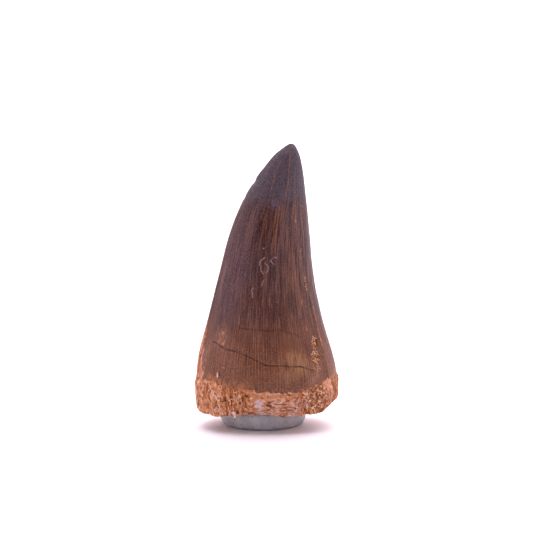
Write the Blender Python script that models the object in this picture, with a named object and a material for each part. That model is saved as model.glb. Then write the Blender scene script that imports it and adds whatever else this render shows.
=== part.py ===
"""A fossil mosasaur tooth, standing on the small grey wad of putty that holds it up.

The tooth is one solid: a tall, slightly curved crown with a cutting edge down each side, whose
broken base still carries a rough band of orange matrix. Its underside is broken hollow, and the
wad reaches up into that hollow. X runs to the tooth's back edge, Y away from the viewer, Z up,
and the origin is the middle of the wad's flat foot.
"""

import math

import bmesh
import bpy
from mathutils import Vector, noise

MM = 0.001

# The two edges of the tooth, seen square on from the lip side, in millimetres as (x, z).
# Each runs down from the tip to the broken rim, one point for each growth line.
TIP = (4.5, 45.28)
FRONT_EDGE = (
    (2.9, 44.4), (1.0, 42.6), (-2.35, 37.8), (-5.05, 31.75), (-6.97, 24.6),
    (-8.85, 17.2), (-10.45, 10.4), (-10.72, 6.8), (-10.4, 2.8),
)
BACK_EDGE = (
    (5.43, 44.35), (6.2, 41.8), (6.85, 37.0), (7.38, 31.2), (8.1, 24.2),
    (9.6, 17.0), (11.5, 10.4), (11.85, 6.8), (11.6, 3.1),
)
GROWTH_LINES = len(FRONT_EDGE)

# Thickness of the crown either side of its cutting edges, as a share of its half width. The lip
# side is flatter, and flattens more from a share of the way down to the rim.
LIP_FULLNESS = 0.62
TONGUE_FULLNESS = 0.80
LIP_FLATNESS = 0.88
RIM_FLATNESS = 0.76
RIM_FLATTENS_FROM = 0.55
SECTION_Y = -1.05
TIP_LEAN = 1.6

# The cutting edges (carinae) stand this many columns round from the front and the back outline,
# both on the lip side. They fade out where the half width falls below a few millimetres.
COLUMNS = 88
FRONT_CARINA_COLUMNS = 3
BACK_CARINA_COLUMNS = 7
CARINA_HEIGHT = 0.26
CARINA_WIDTH = 0.30
CARINA_FADE = (0.3, 2.5)
CARINA_UNDER_BAND = 0.4
FLANK_DIP = 0.10
FLANK_WIDTH = 1.1

# The faint swells of the whole crown, as (height, size, seed) in millimetres.
CROWN_SWELL = (0.05, 6.0, 9.4)

# The matrix band at the base: its upper border, its step over the enamel and its lumps.
BAND_TOP_FRONT = 6.5
BAND_TOP_BACK = 7.4
BAND_TOP_RISE = 2.2
BAND_RAGGED = 0.35
BAND_RAGGED_LOBES = 4.0
BAND_STEP = 0.20
BAND_STEP_WIDTH = (-0.35, 0.25)
BAND_LUMP = (0.42, 2.3, 1.7)

# The patch of matrix in the gouge along the back carina, as (angle, height) and its half size.
GOUGE_AT = (-0.47, 12.9)
GOUGE_SIZE = (1.0, 2.7)
GOUGE_RIM = (0.5, 1.1)
GOUGE_LINE = 5.5
GOUGE_DEPTH = 0.32
GOUGE_LUMP = (0.35, 1.1, 5.1)

# The broken underside, as (share of the radius, height): a low rim round a shallow hollow.
UNDERSIDE = ((0.0, 4.35), (0.58, 4.25), (0.76, 3.5), (0.9, 2.85), (1.0, 3.1))
UNDERSIDE_LUMP = (0.3, 2.3, 3.3)
UNDERSIDE_ROWS = 9
UNDERSIDE_FIRST = 0.12
CROWN_ROWS = 41
TIP_FIRST = 0.10

# The break across the base isn't quite level: it is this much lower towards one side. The slope
# reaches up the side of the crown from a share of the way down to the rim.
BREAK_TILT = 0.28
BREAK_LOW_SIDE = -2.3
BREAK_REACH = 0.8

# Broken corners: each is a flat break through a point (mm), facing a direction.
CHIPS = (
    ((11.12, -1.05, 4.0), (0.60, -0.08, -0.80)),
    ((-10.35, -2.5, 2.75), (-0.72, -0.18, -0.67)),
    ((9.3, -6.9, 6.0), (0.66, -0.74, 0.05)),
)

# The wad of putty: its outline from the foot up, as (height, share of the half width), and how
# far it is from round.
WAD_HALF_WIDTH = 7.0
WAD_HALF_DEPTH = 6.3
WAD_OUTLINE = (
    (0.0, 0.86), (0.2, 0.925), (0.7, 0.965), (1.4, 0.99), (2.1, 1.0),
    (2.75, 0.965), (3.25, 0.88), (3.55, 0.74), (3.62, 0.5),
)
WAD_COLUMNS = 40
WAD_WOBBLE = 0.035
WAD_LOBES = 1.3
WAD_SEED = 4.0

ENAMEL_BROWN = (0.085, 0.036, 0.021, 1.0)
PUTTY_GREY = (0.33, 0.35, 0.37, 1.0)


def smooth_step(low, high, value):
    """0 below low, 1 above high, and a smooth rise between them."""
    share = min(1.0, max(0.0, (value - low) / (high - low)))
    return share * share * (3 - 2 * share)


def on_curve(points, at):
    """The place `at` points along a smooth (Catmull-Rom) curve through the points."""
    first = min(max(int(math.floor(at)), 0), len(points) - 2)
    share = at - first
    around = [points[min(max(first + step, 0), len(points) - 1)] for step in (-1, 0, 1, 2)]
    before, start, end, after = around
    return (
        start
        + (end - before) * (share * 0.5)
        + (before * 2 - start * 5 + end * 4 - after) * (share**2 * 0.5)
        + (start * 3 - before - end * 3 + after) * (share**3 * 0.5)
    )


# One curve up the front edge, over the tip and down the back edge.
OUTLINE = [Vector((x, 0, z)) for x, z in (*reversed(FRONT_EDGE), TIP, *BACK_EDGE)]


def section(line):
    """Centre and half width of the cross-section at a growth line, 0 at the tip."""
    front = on_curve(OUTLINE, GROWTH_LINES - line)
    back = on_curve(OUTLINE, GROWTH_LINES + line)
    centre = (front + back) / 2
    centre.y = SECTION_Y + TIP_LEAN * (1 - line / GROWTH_LINES) ** 2
    return centre, (back - front) / 2


def crown_point(line, angle):
    """A point of the smooth crown and the way out of it. Angle 0 is the back edge, -90 the lip side."""
    centre, half = section(line)
    across, deep = math.cos(angle), math.sin(angle)
    if deep < 0:
        towards_rim = smooth_step(RIM_FLATTENS_FROM, 1.0, line / GROWTH_LINES)
        flatness = LIP_FLATNESS + (RIM_FLATNESS - LIP_FLATNESS) * towards_rim
        fullness, deep = LIP_FULLNESS, -((-deep) ** flatness)
    else:
        fullness = TONGUE_FULLNESS
    point = centre + half * across
    point.y += half.length * fullness * deep
    outward = half.normalized() * (across * fullness) + Vector((0, math.sin(angle), 0))
    return point, outward.normalized()


def carina_relief(line, angle):
    """The raised cutting edges, and the slight dip of the flanks beside them."""
    _, half = section(line)
    column = 2 * math.pi / COLUMNS
    relief = 0.0
    for crest in (-BACK_CARINA_COLUMNS * column, FRONT_CARINA_COLUMNS * column - math.pi):
        away = (angle - crest + math.pi) % (2 * math.pi) - math.pi
        distance = abs(away) * half.length
        relief += CARINA_HEIGHT * math.exp(-((distance / CARINA_WIDTH) ** 2))
        relief -= FLANK_DIP * math.exp(-(((distance - FLANK_WIDTH) / FLANK_WIDTH) ** 2))
    return relief * smooth_step(*CARINA_FADE, half.length)


def band_top(angle):
    """Height of the matrix band's upper border, which climbs towards the cutting edges."""
    middle = BAND_TOP_FRONT if math.sin(angle) < 0 else BAND_TOP_BACK
    around = Vector((math.cos(angle), math.sin(angle), 0.5)) * BAND_RAGGED_LOBES
    return middle + BAND_TOP_RISE * abs(math.cos(angle)) ** 3 + BAND_RAGGED * noise.noise(around)


def lumps(point, height, size, seed):
    """Lumpy relief of a given height, with lumps of a given size, all in millimetres."""
    place = point / size + Vector((seed, seed * 2, seed * 3))
    return height * (
        noise.noise(place) + 0.5 * noise.noise(place * 2.1) + 0.25 * noise.noise(place * 4.3)
    )


def gouge_mask(point, angle):
    """1 inside the matrix-filled gouge beside the back carina, 0 away from it."""
    _, half = section(GOUGE_LINE)
    aside = (angle - GOUGE_AT[0]) * half.length / GOUGE_SIZE[0]
    up = (point.z - GOUGE_AT[1]) / GOUGE_SIZE[1]
    return 1 - smooth_step(*GOUGE_RIM, math.hypot(aside, up))


def broken_off(point):
    """The point, moved back onto any flat break that it stands proud of."""
    for through, facing in CHIPS:
        normal = Vector(facing).normalized()
        proud = (point - Vector(through)).dot(normal)
        if proud > 0:
            point = point - normal * proud
    return point


def tilt_of_break(angle, share):
    """How far the sloping break lowers a point, at a share of the way out to the rim."""
    return Vector((0, 0, -BREAK_TILT * share * math.cos(angle - BREAK_LOW_SIDE)))


def crown_surface(line, angle):
    """A point of the finished side of the tooth."""
    point, outward = crown_point(line, angle)
    point += tilt_of_break(angle, smooth_step(BREAK_REACH, 1.0, line / GROWTH_LINES))
    band = 1 - smooth_step(*BAND_STEP_WIDTH, point.z - band_top(angle))
    relief = carina_relief(line, angle) * (1 - band * (1 - CARINA_UNDER_BAND))
    relief += band * (BAND_STEP + lumps(point, *BAND_LUMP))
    relief += gouge_mask(point, angle) * (lumps(point, *GOUGE_LUMP) - GOUGE_DEPTH)
    relief += lumps(point, *CROWN_SWELL)
    return broken_off(point + outward * relief)


def underside_height(share):
    """Height of the broken underside at a share of the way from its middle to the rim."""
    for (inner, low), (outer, high) in zip(UNDERSIDE, UNDERSIDE[1:]):
        if share <= outer:
            return low + (high - low) * smooth_step(inner, outer, share)
    return UNDERSIDE[-1][1]


def underside_surface(share, angle):
    """A point of the broken underside, pulled in from the rim's own outline."""
    rim, _ = crown_point(GROWTH_LINES, angle)
    point = rim * share
    point.z = underside_height(share)
    point.z += share * lumps(point, *UNDERSIDE_LUMP)
    return broken_off(point + tilt_of_break(angle, share))


def new_object(name, mesh, material, collection):
    """Adds a finished mesh to the scene under its part's name."""
    thing = bpy.data.objects.new(name, mesh)
    thing.data.materials.append(material)
    collection.objects.link(thing)
    thing.data.shade_smooth()
    thing.data.set_sharp_from_angle(angle=math.radians(40))
    return thing


def make_material(name, colour, roughness):
    """A plain material with the part's colour."""
    material = bpy.data.materials.new(name)
    material.use_nodes = True
    shader = material.node_tree.nodes["Principled BSDF"]
    shader.inputs["Base Color"].default_value = colour
    shader.inputs["Roughness"].default_value = roughness
    material.diffuse_color = colour
    return material


def ringed_cylinder(columns, rows):
    """A unit cylinder with closed ends and evenly spaced rings, to be wrapped over a form."""
    mesh = bmesh.new()
    bmesh.ops.create_cone(
        mesh, cap_ends=True, cap_tris=True, segments=columns, radius1=1, radius2=1, depth=1
    )
    upright = [e for e in mesh.edges if abs(e.verts[0].co.z - e.verts[1].co.z) > 0.5]
    bmesh.ops.subdivide_edges(mesh, edges=upright, cuts=rows - 1, use_grid_fill=True)
    return mesh


def make_tooth(collection):
    """Wraps a cylinder over the tooth: its lower rings make the underside, the rest the crown."""
    rows = UNDERSIDE_ROWS + CROWN_ROWS
    body = ringed_cylinder(COLUMNS, rows)
    for corner in body.verts:
        row = round((corner.co.z + 0.5) * rows)
        angle = math.atan2(corner.co.y, corner.co.x)
        on_axis = corner.co.xy.length < 0.5
        if on_axis and row == 0:
            corner.co = underside_surface(0.0, 0.0) * MM
        elif on_axis:
            corner.co = section(0.0)[0] * MM
        elif row < UNDERSIDE_ROWS:
            share = UNDERSIDE_FIRST + (1 - UNDERSIDE_FIRST) * row / UNDERSIDE_ROWS
            corner.co = underside_surface(share, angle) * MM
        else:
            climbed = (row - UNDERSIDE_ROWS) / CROWN_ROWS
            line = GROWTH_LINES + (TIP_FIRST - GROWTH_LINES) * climbed
            corner.co = crown_surface(line, angle) * MM
    mesh = bpy.data.meshes.new("tooth")
    body.to_mesh(mesh)
    body.free()
    return new_object("tooth", mesh, make_material("enamel", ENAMEL_BROWN, 0.45), collection)


def make_wad(collection):
    """The pressed wad of putty: a low round cushion with a flat foot and a bulging side."""
    rows = len(WAD_OUTLINE) - 1
    body = ringed_cylinder(WAD_COLUMNS, rows)
    for corner in body.verts:
        row = round((corner.co.z + 0.5) * rows)
        height, reach = WAD_OUTLINE[row]
        angle = math.atan2(corner.co.y, corner.co.x)
        if corner.co.xy.length < 0.5:
            corner.co = Vector((0, 0, height)) * MM
            continue
        around = Vector((math.cos(angle), math.sin(angle), WAD_SEED))
        reach *= 1 + WAD_WOBBLE * noise.noise(around * WAD_LOBES)
        across = WAD_HALF_WIDTH * reach * around.x
        deep = WAD_HALF_DEPTH * reach * around.y
        corner.co = Vector((across, deep, height)) * MM
    mesh = bpy.data.meshes.new("putty_wad")
    body.to_mesh(mesh)
    body.free()
    return new_object("putty_wad", mesh, make_material("putty", PUTTY_GREY, 0.85), collection)


def main():
    for thing in list(bpy.data.objects):
        bpy.data.objects.remove(thing)
    collection = bpy.data.collections.new("mosasaur_tooth")
    bpy.context.scene.collection.children.link(collection)
    make_tooth(collection)
    make_wad(collection)


main()
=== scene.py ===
# %% [markdown]
# # A fossil mosasaur tooth on its wad of putty
#
# The real thing is a tooth of a sea reptile, about 43 mm tall. Its crown is enamel that minerals
# have stained brown, its broken base is still covered by the orange rock (the matrix) it was dug
# out of, and a pressed wad of grey putty holds it upright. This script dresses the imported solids:
# it loads them as a fixed frame, builds a finer surface for each piece and gives every surface its
# own material. Each step explains what the real surface is, and why it is made this way.

import math

import bmesh
import bpy
import numpy as np
from mathutils import Matrix, Vector, noise
from mathutils.bvhtree import BVHTree


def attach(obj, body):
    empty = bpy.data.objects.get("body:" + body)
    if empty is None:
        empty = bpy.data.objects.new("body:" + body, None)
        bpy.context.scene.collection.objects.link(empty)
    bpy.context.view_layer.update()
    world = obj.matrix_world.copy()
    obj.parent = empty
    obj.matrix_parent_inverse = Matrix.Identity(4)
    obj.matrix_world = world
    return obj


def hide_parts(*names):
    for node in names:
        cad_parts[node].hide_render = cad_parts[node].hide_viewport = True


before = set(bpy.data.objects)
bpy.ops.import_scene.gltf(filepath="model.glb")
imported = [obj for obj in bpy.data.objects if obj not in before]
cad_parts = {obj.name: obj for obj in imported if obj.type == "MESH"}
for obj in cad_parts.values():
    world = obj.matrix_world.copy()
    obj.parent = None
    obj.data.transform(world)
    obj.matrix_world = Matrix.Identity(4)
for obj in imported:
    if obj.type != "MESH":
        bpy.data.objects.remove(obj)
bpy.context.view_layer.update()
MM = 0.001

# %% [markdown]
# ## The camera
#
# A small object looks natural through a long lens, as a close-up photographer would use. The
# photograph shows 0.16 mm of the tooth in each pixel, so the distance follows from the lens and
# the sensor. The camera looks slightly down, which is why the wad's foot shows as a shallow curve.

# %% Camera at the photograph's angle
PHOTO_SIDE = 533
MM_PER_PIXEL = 0.16
LENS = 135.0
SENSOR = 36.0
ELEVATION = math.radians(9.0)
AIM = Vector((0.56, 0.0, 25.6)) * MM
NEAREST_SHOWN = 0.01

backwards = Vector((0.0, -math.cos(ELEVATION), math.sin(ELEVATION)))
camera = bpy.data.objects.new("camera", bpy.data.cameras.new("camera"))
camera.data.lens = LENS
camera.data.sensor_width = SENSOR
camera.data.clip_start = NEAREST_SHOWN
camera.location = AIM + backwards * (PHOTO_SIDE * MM_PER_PIXEL * MM * LENS / SENSOR)
camera.rotation_mode = "QUATERNION"
camera.rotation_quaternion = (-backwards).to_track_quat("-Z", "Y")
bpy.context.scene.collection.objects.link(camera)
bpy.context.scene.camera = camera
print("camera distance in mm:", round((camera.location - AIM).length / MM, 1))

# %% [markdown]
# ## Helpers for shader nodes
#
# Colours are given as sRGB hex values, but Blender's shaders work with linear light, so
# one function converts them. Another adds a shader node with its settings and its links, and the
# rest are short names for the steps that every material here is made of: reading a place or a
# value kept on the mesh, stretching a value over a range, multiplying values, and laying one
# colour over another where a mask says so.

# %% Material helpers


def linear(hex_colour):
    """An sRGB hex value such as "#a8694c" as the linear colour that shaders use."""
    parts = [int(hex_colour[i : i + 2], 16) / 255 for i in (1, 3, 5)]
    return (*[p / 12.92 if p <= 0.04045 else ((p + 0.055) / 1.055) ** 2.4 for p in parts], 1.0)


def feed(node, inputs):
    """Gives each named or numbered input of a node its value, or a socket to read."""
    for key, value in inputs.items():
        if isinstance(key, int):
            socket = node.inputs[key]
        else:
            socket = next(s for s in node.inputs if s.name == key and s.enabled)
        if isinstance(value, bpy.types.NodeSocket):
            node.id_data.links.new(value, socket)
        else:
            socket.default_value = value


def add(tree, kind, inputs=None, **settings):
    """Adds a node with its settings and inputs, and returns its first output."""
    node = tree.nodes.new(kind)
    for name, value in settings.items():
        setattr(node, name, value)
    feed(node, inputs or {})
    return next(s for s in node.outputs if s.enabled)


def noted(tree, name, output="Fac"):
    """A value or vector that the mesh keeps on its vertices."""
    return add(tree, "ShaderNodeAttribute", attribute_name=name).node.outputs[output]


def object_place(tree):
    """Where a point lies in its piece's own frame, in millimetres."""
    place = add(tree, "ShaderNodeTexCoord").node.outputs["Object"]
    return add(tree, "ShaderNodeVectorMath", {0: place, "Scale": 1 / MM}, operation="SCALE")


def grain(tree, place, scale, detail=2.0, stretch=None):
    """Noise at a place in millimetres, stretched along an axis by a factor under 1."""
    if stretch:
        place = add(tree, "ShaderNodeVectorMath", {0: place, 1: stretch}, operation="MULTIPLY")
    return add(tree, "ShaderNodeTexNoise", {"Vector": place, "Scale": scale, "Detail": detail})


def ramped(value, low, high, start=0.0, end=1.0):
    """A value, mapped smoothly from low..high to start..end."""
    ends = {"Value": value, "From Min": low, "From Max": high, "To Min": start, "To Max": end}
    return add(value.node.id_data, "ShaderNodeMapRange", ends, interpolation_type="SMOOTHSTEP")


def math_of(operation, *values):
    """One arithmetic step on values, at least the first of which is a socket."""
    numbered = dict(enumerate(values))
    return add(values[0].node.id_data, "ShaderNodeMath", numbered, operation=operation)


def times(*values):
    """The product of several values."""
    product = values[0]
    for value in values[1:]:
        product = math_of("MULTIPLY", product, value)
    return product


def layered(colour, layers):
    """Lays colours over one another, each with the mask that says where it shows."""
    for hex_colour, mask in layers:
        mixed = {"Factor": mask, "A": colour, "B": linear(hex_colour)}
        colour = add(mask.node.id_data, "ShaderNodeMix", mixed, data_type="RGBA")
    return colour


def new_material(name):
    """An empty material, its node tree and its Principled shader."""
    material = bpy.data.materials.new(name)
    material.use_nodes = True
    return material, material.node_tree, material.node_tree.nodes["Principled BSDF"]


print("sRGB mid grey in linear light:", round(linear("#808080")[0], 3))

# %% [markdown]
# ## Light tent and floor
#
# Such specimens are photographed in a light tent on a white card. The lamp stands above and
# behind, so the cloth glows strongly there and weakly at both sides, and the front is open for
# the lens. The tooth's flanks mirror bright cloth and turn pale and violet, while its middle
# mirrors the dark opening and keeps a deep brown. The tent is the world here: its brightness
# follows the direction. Its tint is the slight magenta that shows in the shadows. The view's
# black and white levels stand for the contrast that the camera gave the photograph.

# %% Light tent
TENT_TINT = (1.0, 0.90, 0.985, 1.0)
TENT_FRONT = 0.10
TENT_BACK = 0.20
FRONT_TO_BACK = (-0.75, -0.05)
TENT_GLOWS = (
    # direction, cosine at its edge, cosine where it is full, radiance
    ((-0.97, -0.22, 0.14), 0.35, 0.85, 0.60),
    ((0.97, -0.12, 0.12), 0.35, 0.85, 0.72),
    ((0.03, 0.62, 0.78), 0.54, 0.93, 3.9),
)
BLACK_POINT = 0.018
WHITE_POINT = 0.82

world = bpy.data.worlds.new("light_tent")
world.use_nodes = True
world_tree = world.node_tree
towards = add(world_tree, "ShaderNodeTexCoord").node.outputs["Generated"]
across_tent = add(world_tree, "ShaderNodeSeparateXYZ", {0: towards}).node.outputs["Y"]
radiance = ramped(across_tent, *FRONT_TO_BACK, TENT_FRONT, TENT_BACK)
for direction, edge, full, strength in TENT_GLOWS:
    both = {0: towards, 1: Vector(direction).normalized()}
    aimed = add(world_tree, "ShaderNodeVectorMath", both, operation="DOT_PRODUCT")
    radiance = math_of("ADD", radiance, ramped(aimed, edge, full, 0.0, strength))
feed(world_tree.nodes["Background"], {"Color": TENT_TINT, "Strength": radiance})
bpy.context.scene.world = world
view = bpy.context.scene.view_settings
view.view_transform = "Standard"
view.use_curve_mapping = True
view.curve_mapping.black_level = [BLACK_POINT] * 3
view.curve_mapping.white_level = [WHITE_POINT] * 3
view.curve_mapping.update()
print("glows in the tent:", len(TENT_GLOWS))

# %% White card
FLOOR_HALF = 3.0
floor_mesh = bpy.data.meshes.new("floor")
floor_shape = bmesh.new()
bmesh.ops.create_grid(floor_shape, x_segments=1, y_segments=1, size=FLOOR_HALF)
floor_shape.to_mesh(floor_mesh)
floor_shape.free()
floor = bpy.data.objects.new("floor", floor_mesh)
white_card, _, card_shader = new_material("white_card")
feed(card_shader, {"Base Color": linear("#f4f2f4"), "Roughness": 0.9, "Specular IOR Level": 0.1})
floor_mesh.materials.append(white_card)
bpy.context.scene.collection.objects.link(floor)
print("the card is", 2 * FLOOR_HALF, "m wide")

# %% [markdown]
# ## The form of the tooth
#
# A tooth grows as a stack of cross-sections, so its form is easiest to state as two edge curves,
# front and back, and a rule for the section between them. The rule and its sizes are those of the
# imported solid, so the fine surface lies exactly where the solid is. Whole arrays of points are
# worked out at once with numpy, one row for each ring and one column for each lengthwise line.

# %% Sizes of the form, in millimetres
TIP = (4.5, 45.28)
FRONT_EDGE = (
    (2.9, 44.4), (1.0, 42.6), (-2.35, 37.8), (-5.05, 31.75), (-6.97, 24.6),
    (-8.85, 17.2), (-10.45, 10.4), (-10.72, 6.8), (-10.4, 2.8),
)
BACK_EDGE = (
    (5.43, 44.35), (6.2, 41.8), (6.85, 37.0), (7.38, 31.2), (8.1, 24.2),
    (9.6, 17.0), (11.5, 10.4), (11.85, 6.8), (11.6, 3.1),
)
GROWTH_LINES = len(FRONT_EDGE)
OUTLINE = np.array([(x, 0.0, z) for x, z in (*reversed(FRONT_EDGE), TIP, *BACK_EDGE)])
LIP_FULLNESS = 0.62
TONGUE_FULLNESS = 0.80
LIP_FLATNESS = 0.88
RIM_FLATNESS = 0.76
# The section flattens from this share of the way down, and the break tilts the last share.
RIM_FLATTENS_FROM = 0.55
BREAK_REACH = 0.8
BREAK_TILT = 0.28
# Where round the rim the break is lowest, in radians.
BREAK_LOW_SIDE = -2.3
SECTION_Y = -1.05
TIP_LEAN = 1.6
REFERENCE_RADIUS = 10.0
print("height of the tip over the table in mm:", TIP[1])

# %% The form


def smooth_step(low, high, value):
    """0 below low, 1 above high, and a smooth rise between them."""
    share = np.clip((value - low) / (high - low), 0.0, 1.0)
    return share * share * (3 - 2 * share)


def on_curve(points, at):
    """Places along a smooth (Catmull-Rom) curve, `at` points from its start."""
    at = np.asarray(at, float)
    first = np.clip(np.floor(at).astype(int), 0, len(points) - 2)
    share = (at - first)[..., None]
    around = [points[np.clip(first + step, 0, len(points) - 1)] for step in (-1, 0, 1, 2)]
    before, start, end, after = around
    return (
        start
        + (end - before) * (share * 0.5)
        + (before * 2 - start * 5 + end * 4 - after) * (share**2 * 0.5)
        + (start * 3 - before - end * 3 + after) * (share**3 * 0.5)
    )


def section(line):
    """Centre, half width vector and half width of the section at a growth line, 0 at the tip."""
    line = np.asarray(line, float)
    front = on_curve(OUTLINE, GROWTH_LINES - line)
    back = on_curve(OUTLINE, GROWTH_LINES + line)
    centre = (front + back) / 2
    centre[..., 1] = SECTION_Y + TIP_LEAN * (1 - line / GROWTH_LINES) ** 2
    half = (back - front) / 2
    return centre, half, np.linalg.norm(half, axis=-1)


def crown_form(line, angle):
    """Points of the smooth crown and the way out of it. Angle 0 is the back edge, -90 the lip."""
    centre, half, half_width = section(line)
    across, deep = np.cos(angle), np.sin(angle)
    lip = deep < 0
    towards_rim = smooth_step(RIM_FLATTENS_FROM, 1.0, line / GROWTH_LINES)
    flatness = LIP_FLATNESS + (RIM_FLATNESS - LIP_FLATNESS) * towards_rim
    fullness = np.where(lip, LIP_FULLNESS, TONGUE_FULLNESS)
    point = centre + half * across[..., None]
    point[..., 1] += half_width * fullness * np.where(lip, -(np.abs(deep) ** flatness), deep)
    tilt = smooth_step(BREAK_REACH, 1.0, line / GROWTH_LINES) * np.cos(angle - BREAK_LOW_SIDE)
    point[..., 2] -= BREAK_TILT * tilt
    outward = half / half_width[..., None] * (across * fullness)[..., None]
    outward[..., 1] += deep
    return point, outward / np.linalg.norm(outward, axis=-1, keepdims=True)


print("half width at the rim in mm:", round(float(section(GROWTH_LINES)[2]), 2))

# %% [markdown]
# ## Noise, and a grid that knows its place
#
# Nearly every natural irregularity here is a noise of a stated size in millimetres. Besides plain
# noise there are cells, for rock that breaks into chunks. Each noise has a seed, a number that
# shifts it so that no two are alike. A skin is a grid over the tooth that keeps, for every place,
# its angle, its height and its growth coordinate. That coordinate is the place on a plain
# cylinder of 10 mm radius, so patterns in it run lengthwise, join up all round and converge
# towards the tip, as the real ones do.

# %% Noise
# Vector noise takes its shifts from the clock unless it is given a seed.
NOISE_SEED = 7
noise.seed_set(NOISE_SEED)
LEAN_SEED = 3.1
TONE_SEED = 37.7
# Share of the height and times finer, for each layer of lumps.
LUMP_LAYERS = ((1.0, 1.0), (0.5, 2.1), (0.25, 4.3))


def noise_over(places, size, seed=0.0):
    """A noise value from about -0.6 to 0.6 for each place, with blobs `size` mm across."""
    flat = (places / size + seed * np.array((1, 2, 3))).reshape(-1, 3).tolist()
    return np.array([noise.noise(place) for place in flat]).reshape(places.shape[:-1])


def cells_over(places, size, seed):
    """For each place: distance from its cell's middle, gap to the next cell, tone, slope."""
    found = []
    for place in (places / size + seed * np.array((1, 2, 3))).reshape(-1, 3).tolist():
        distances, middles = noise.voronoi(place)
        middle = middles[0]
        leaning = noise.noise_vector(middle * LEAN_SEED).dot(Vector(place) - middle)
        gap = distances[1] - distances[0]
        found.append((distances[0], gap, noise.cell(middle * TONE_SEED), leaning))
    return [np.array(part).reshape(places.shape[:-1]) for part in zip(*found)]


def lumps(places, amount, size, seed):
    """Lumpy relief in three layers, each finer and lower than the one before."""
    places = places / size + seed * np.array((1, 2, 3))
    return amount * sum(share * noise_over(places * finer, 1.0) for share, finer in LUMP_LAYERS)


print("layers of lumps:", len(LUMP_LAYERS))

# %% Heights round the tooth
TIP_FIRST = 0.10
LINE_SAMPLES = 600


def column_angles(columns):
    """The angle of each lengthwise line of a grid."""
    return np.arange(columns) / columns * 2 * math.pi - math.pi


def circle(angles, level=0.0):
    """Points on a circle of radius 1, at a level."""
    return np.stack([np.cos(angles), np.sin(angles), level + 0 * angles], axis=-1)


def path_heights(path, wiggles, seed, angles):
    """The height of a path round the tooth at each angle, with ragged wiggles added."""
    turns, heights = np.array(path).T
    height = np.interp(np.degrees(angles), turns, heights, period=360)
    for amount, size in wiggles:
        height += amount * noise_over(circle(angles) * REFERENCE_RADIUS, size, seed)
    return height


def line_at(heights, angles):
    """The growth line where each column reaches the heights, a row for each ring."""
    lines = np.linspace(GROWTH_LINES, TIP_FIRST, LINE_SAMPLES)
    reached = crown_form(lines[:, None], angles[None, :])[0][..., 2]
    found = [np.interp(heights[:, c], reached[:, c], lines) for c in range(len(angles))]
    return np.stack(found, axis=1)


def spread(low, high, count):
    """`count` rings evenly between two rings' heights, without the two themselves."""
    shares = (np.arange(count) + 1)[:, None] / (count + 1)
    return low + (high - low) * shares


# %% Skins


class Skin:
    """A grid over the tooth, rings by columns, with what is known of each place, in mm."""

    def __init__(self, lines, angles):
        self.lines = lines
        self.smooth, self.outward = crown_form(lines, angles[None, :])
        self.half_width = section(lines)[2]
        self.height = self.smooth[..., 2]
        self.degrees = np.degrees(angles)[None, :] + 0 * lines
        around = REFERENCE_RADIUS * circle(angles)[:, :2]
        self.grown = np.concatenate([around + 0 * lines[..., None], self.height[..., None]], -1)

    def turn_from(self, crest):
        """Degrees round from a crest, -180 to 180."""
        return (self.degrees - crest + 180) % 360 - 180

    def across_from(self, crest):
        """Millimetres round from a crest."""
        return np.abs(np.radians(self.turn_from(crest))) * self.half_width

    def patch(self, degree, at_height, across, up, full=0.5, gone=1.1):
        """1 inside an oval patch, 0 outside: half sizes in mm, and where in them it fades."""
        away = np.hypot(self.across_from(degree) / across, (self.height - at_height) / up)
        return 1 - smooth_step(full, gone, away)

    def between(self, start, end, fade):
        """1 between two angles round the tooth, fading over some degrees at both ends."""
        half = (end - start) / 2
        return 1 - smooth_step(half - fade, half + fade, np.abs(self.turn_from(start + half)))

    def streaks(self, size, seed, along):
        """Noise drawn out lengthwise: `along` is the size across as a share of the length."""
        return noise_over(self.grown * (1, 1, along), size, seed)

    def seam_gap(self, path, bend=0.0):
        """Millimetres from a lengthwise seam, a path of (height, degrees) from the top down.

        A bend moves the seam round by some degrees, a different number at each place.
        """
        heights, turns = np.array(path[::-1]).T
        across = self.across_from(np.interp(self.height, heights, turns) - bend)
        beyond = np.maximum(np.maximum(heights[0] - self.height, self.height - heights[-1]), 0)
        return np.hypot(across, beyond)


def total(measure, rows):
    """The sum of a skin's measure over rows, each a weight and then what the measure takes."""
    return sum(weight * measure(*row) for weight, *row in rows)


# %% [markdown]
# ## Where the rings of the crown go
#
# The crown's surface is a tube of rings. Evenly spaced rings would cross the cracks at a slant and
# turn them into stairs, so a bundle of close rings is led along each crack. The other rings are
# spread evenly. The tube starts below the edge of the matrix, where the matrix will cover it.

# %% Paths round the tooth, as (degrees round, height in mm); -90 is the middle of the lip side
BORDER_PATH = (
    (-180, 9.0), (-145, 8.3), (-137, 8.05), (-130, 7.85), (-123, 7.4), (-114, 7.2), (-105, 7.45),
    (-97, 7.0), (-85, 6.9), (-68, 6.7), (-59, 7.1), (-48, 7.7), (-40, 8.1), (-30, 8.55),
    (-13, 9.0), (0, 9.1), (20, 8.5), (38, 7.5), (58, 8.0), (78, 6.9), (98, 7.4), (116, 8.4),
    (136, 7.7), (158, 8.8),
)
MAIN_CRACK_PATH = (
    (-180, 14.6), (-146, 14.35), (-128, 13.4), (-113, 12.85), (-105, 12.4), (-98, 11.8),
    (-91, 11.1), (-83, 11.0), (-73, 10.95), (-58, 10.6), (-46, 9.9), (-20, 10.6), (30, 11.8),
    (60, 12.9), (90, 12.4), (120, 13.6), (150, 14.2),
)
UPPER_CRACK_PATH = (
    (-180, 16.9), (-149, 16.4), (-136, 15.8), (-128, 16.3), (-115, 16.75), (-102, 16.6),
    (-90, 16.45), (-76, 16.5), (-63, 15.85), (-55, 15.3), (-25, 15.4), (40, 17.0),
    (90, 17.4), (140, 17.6),
)
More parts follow.
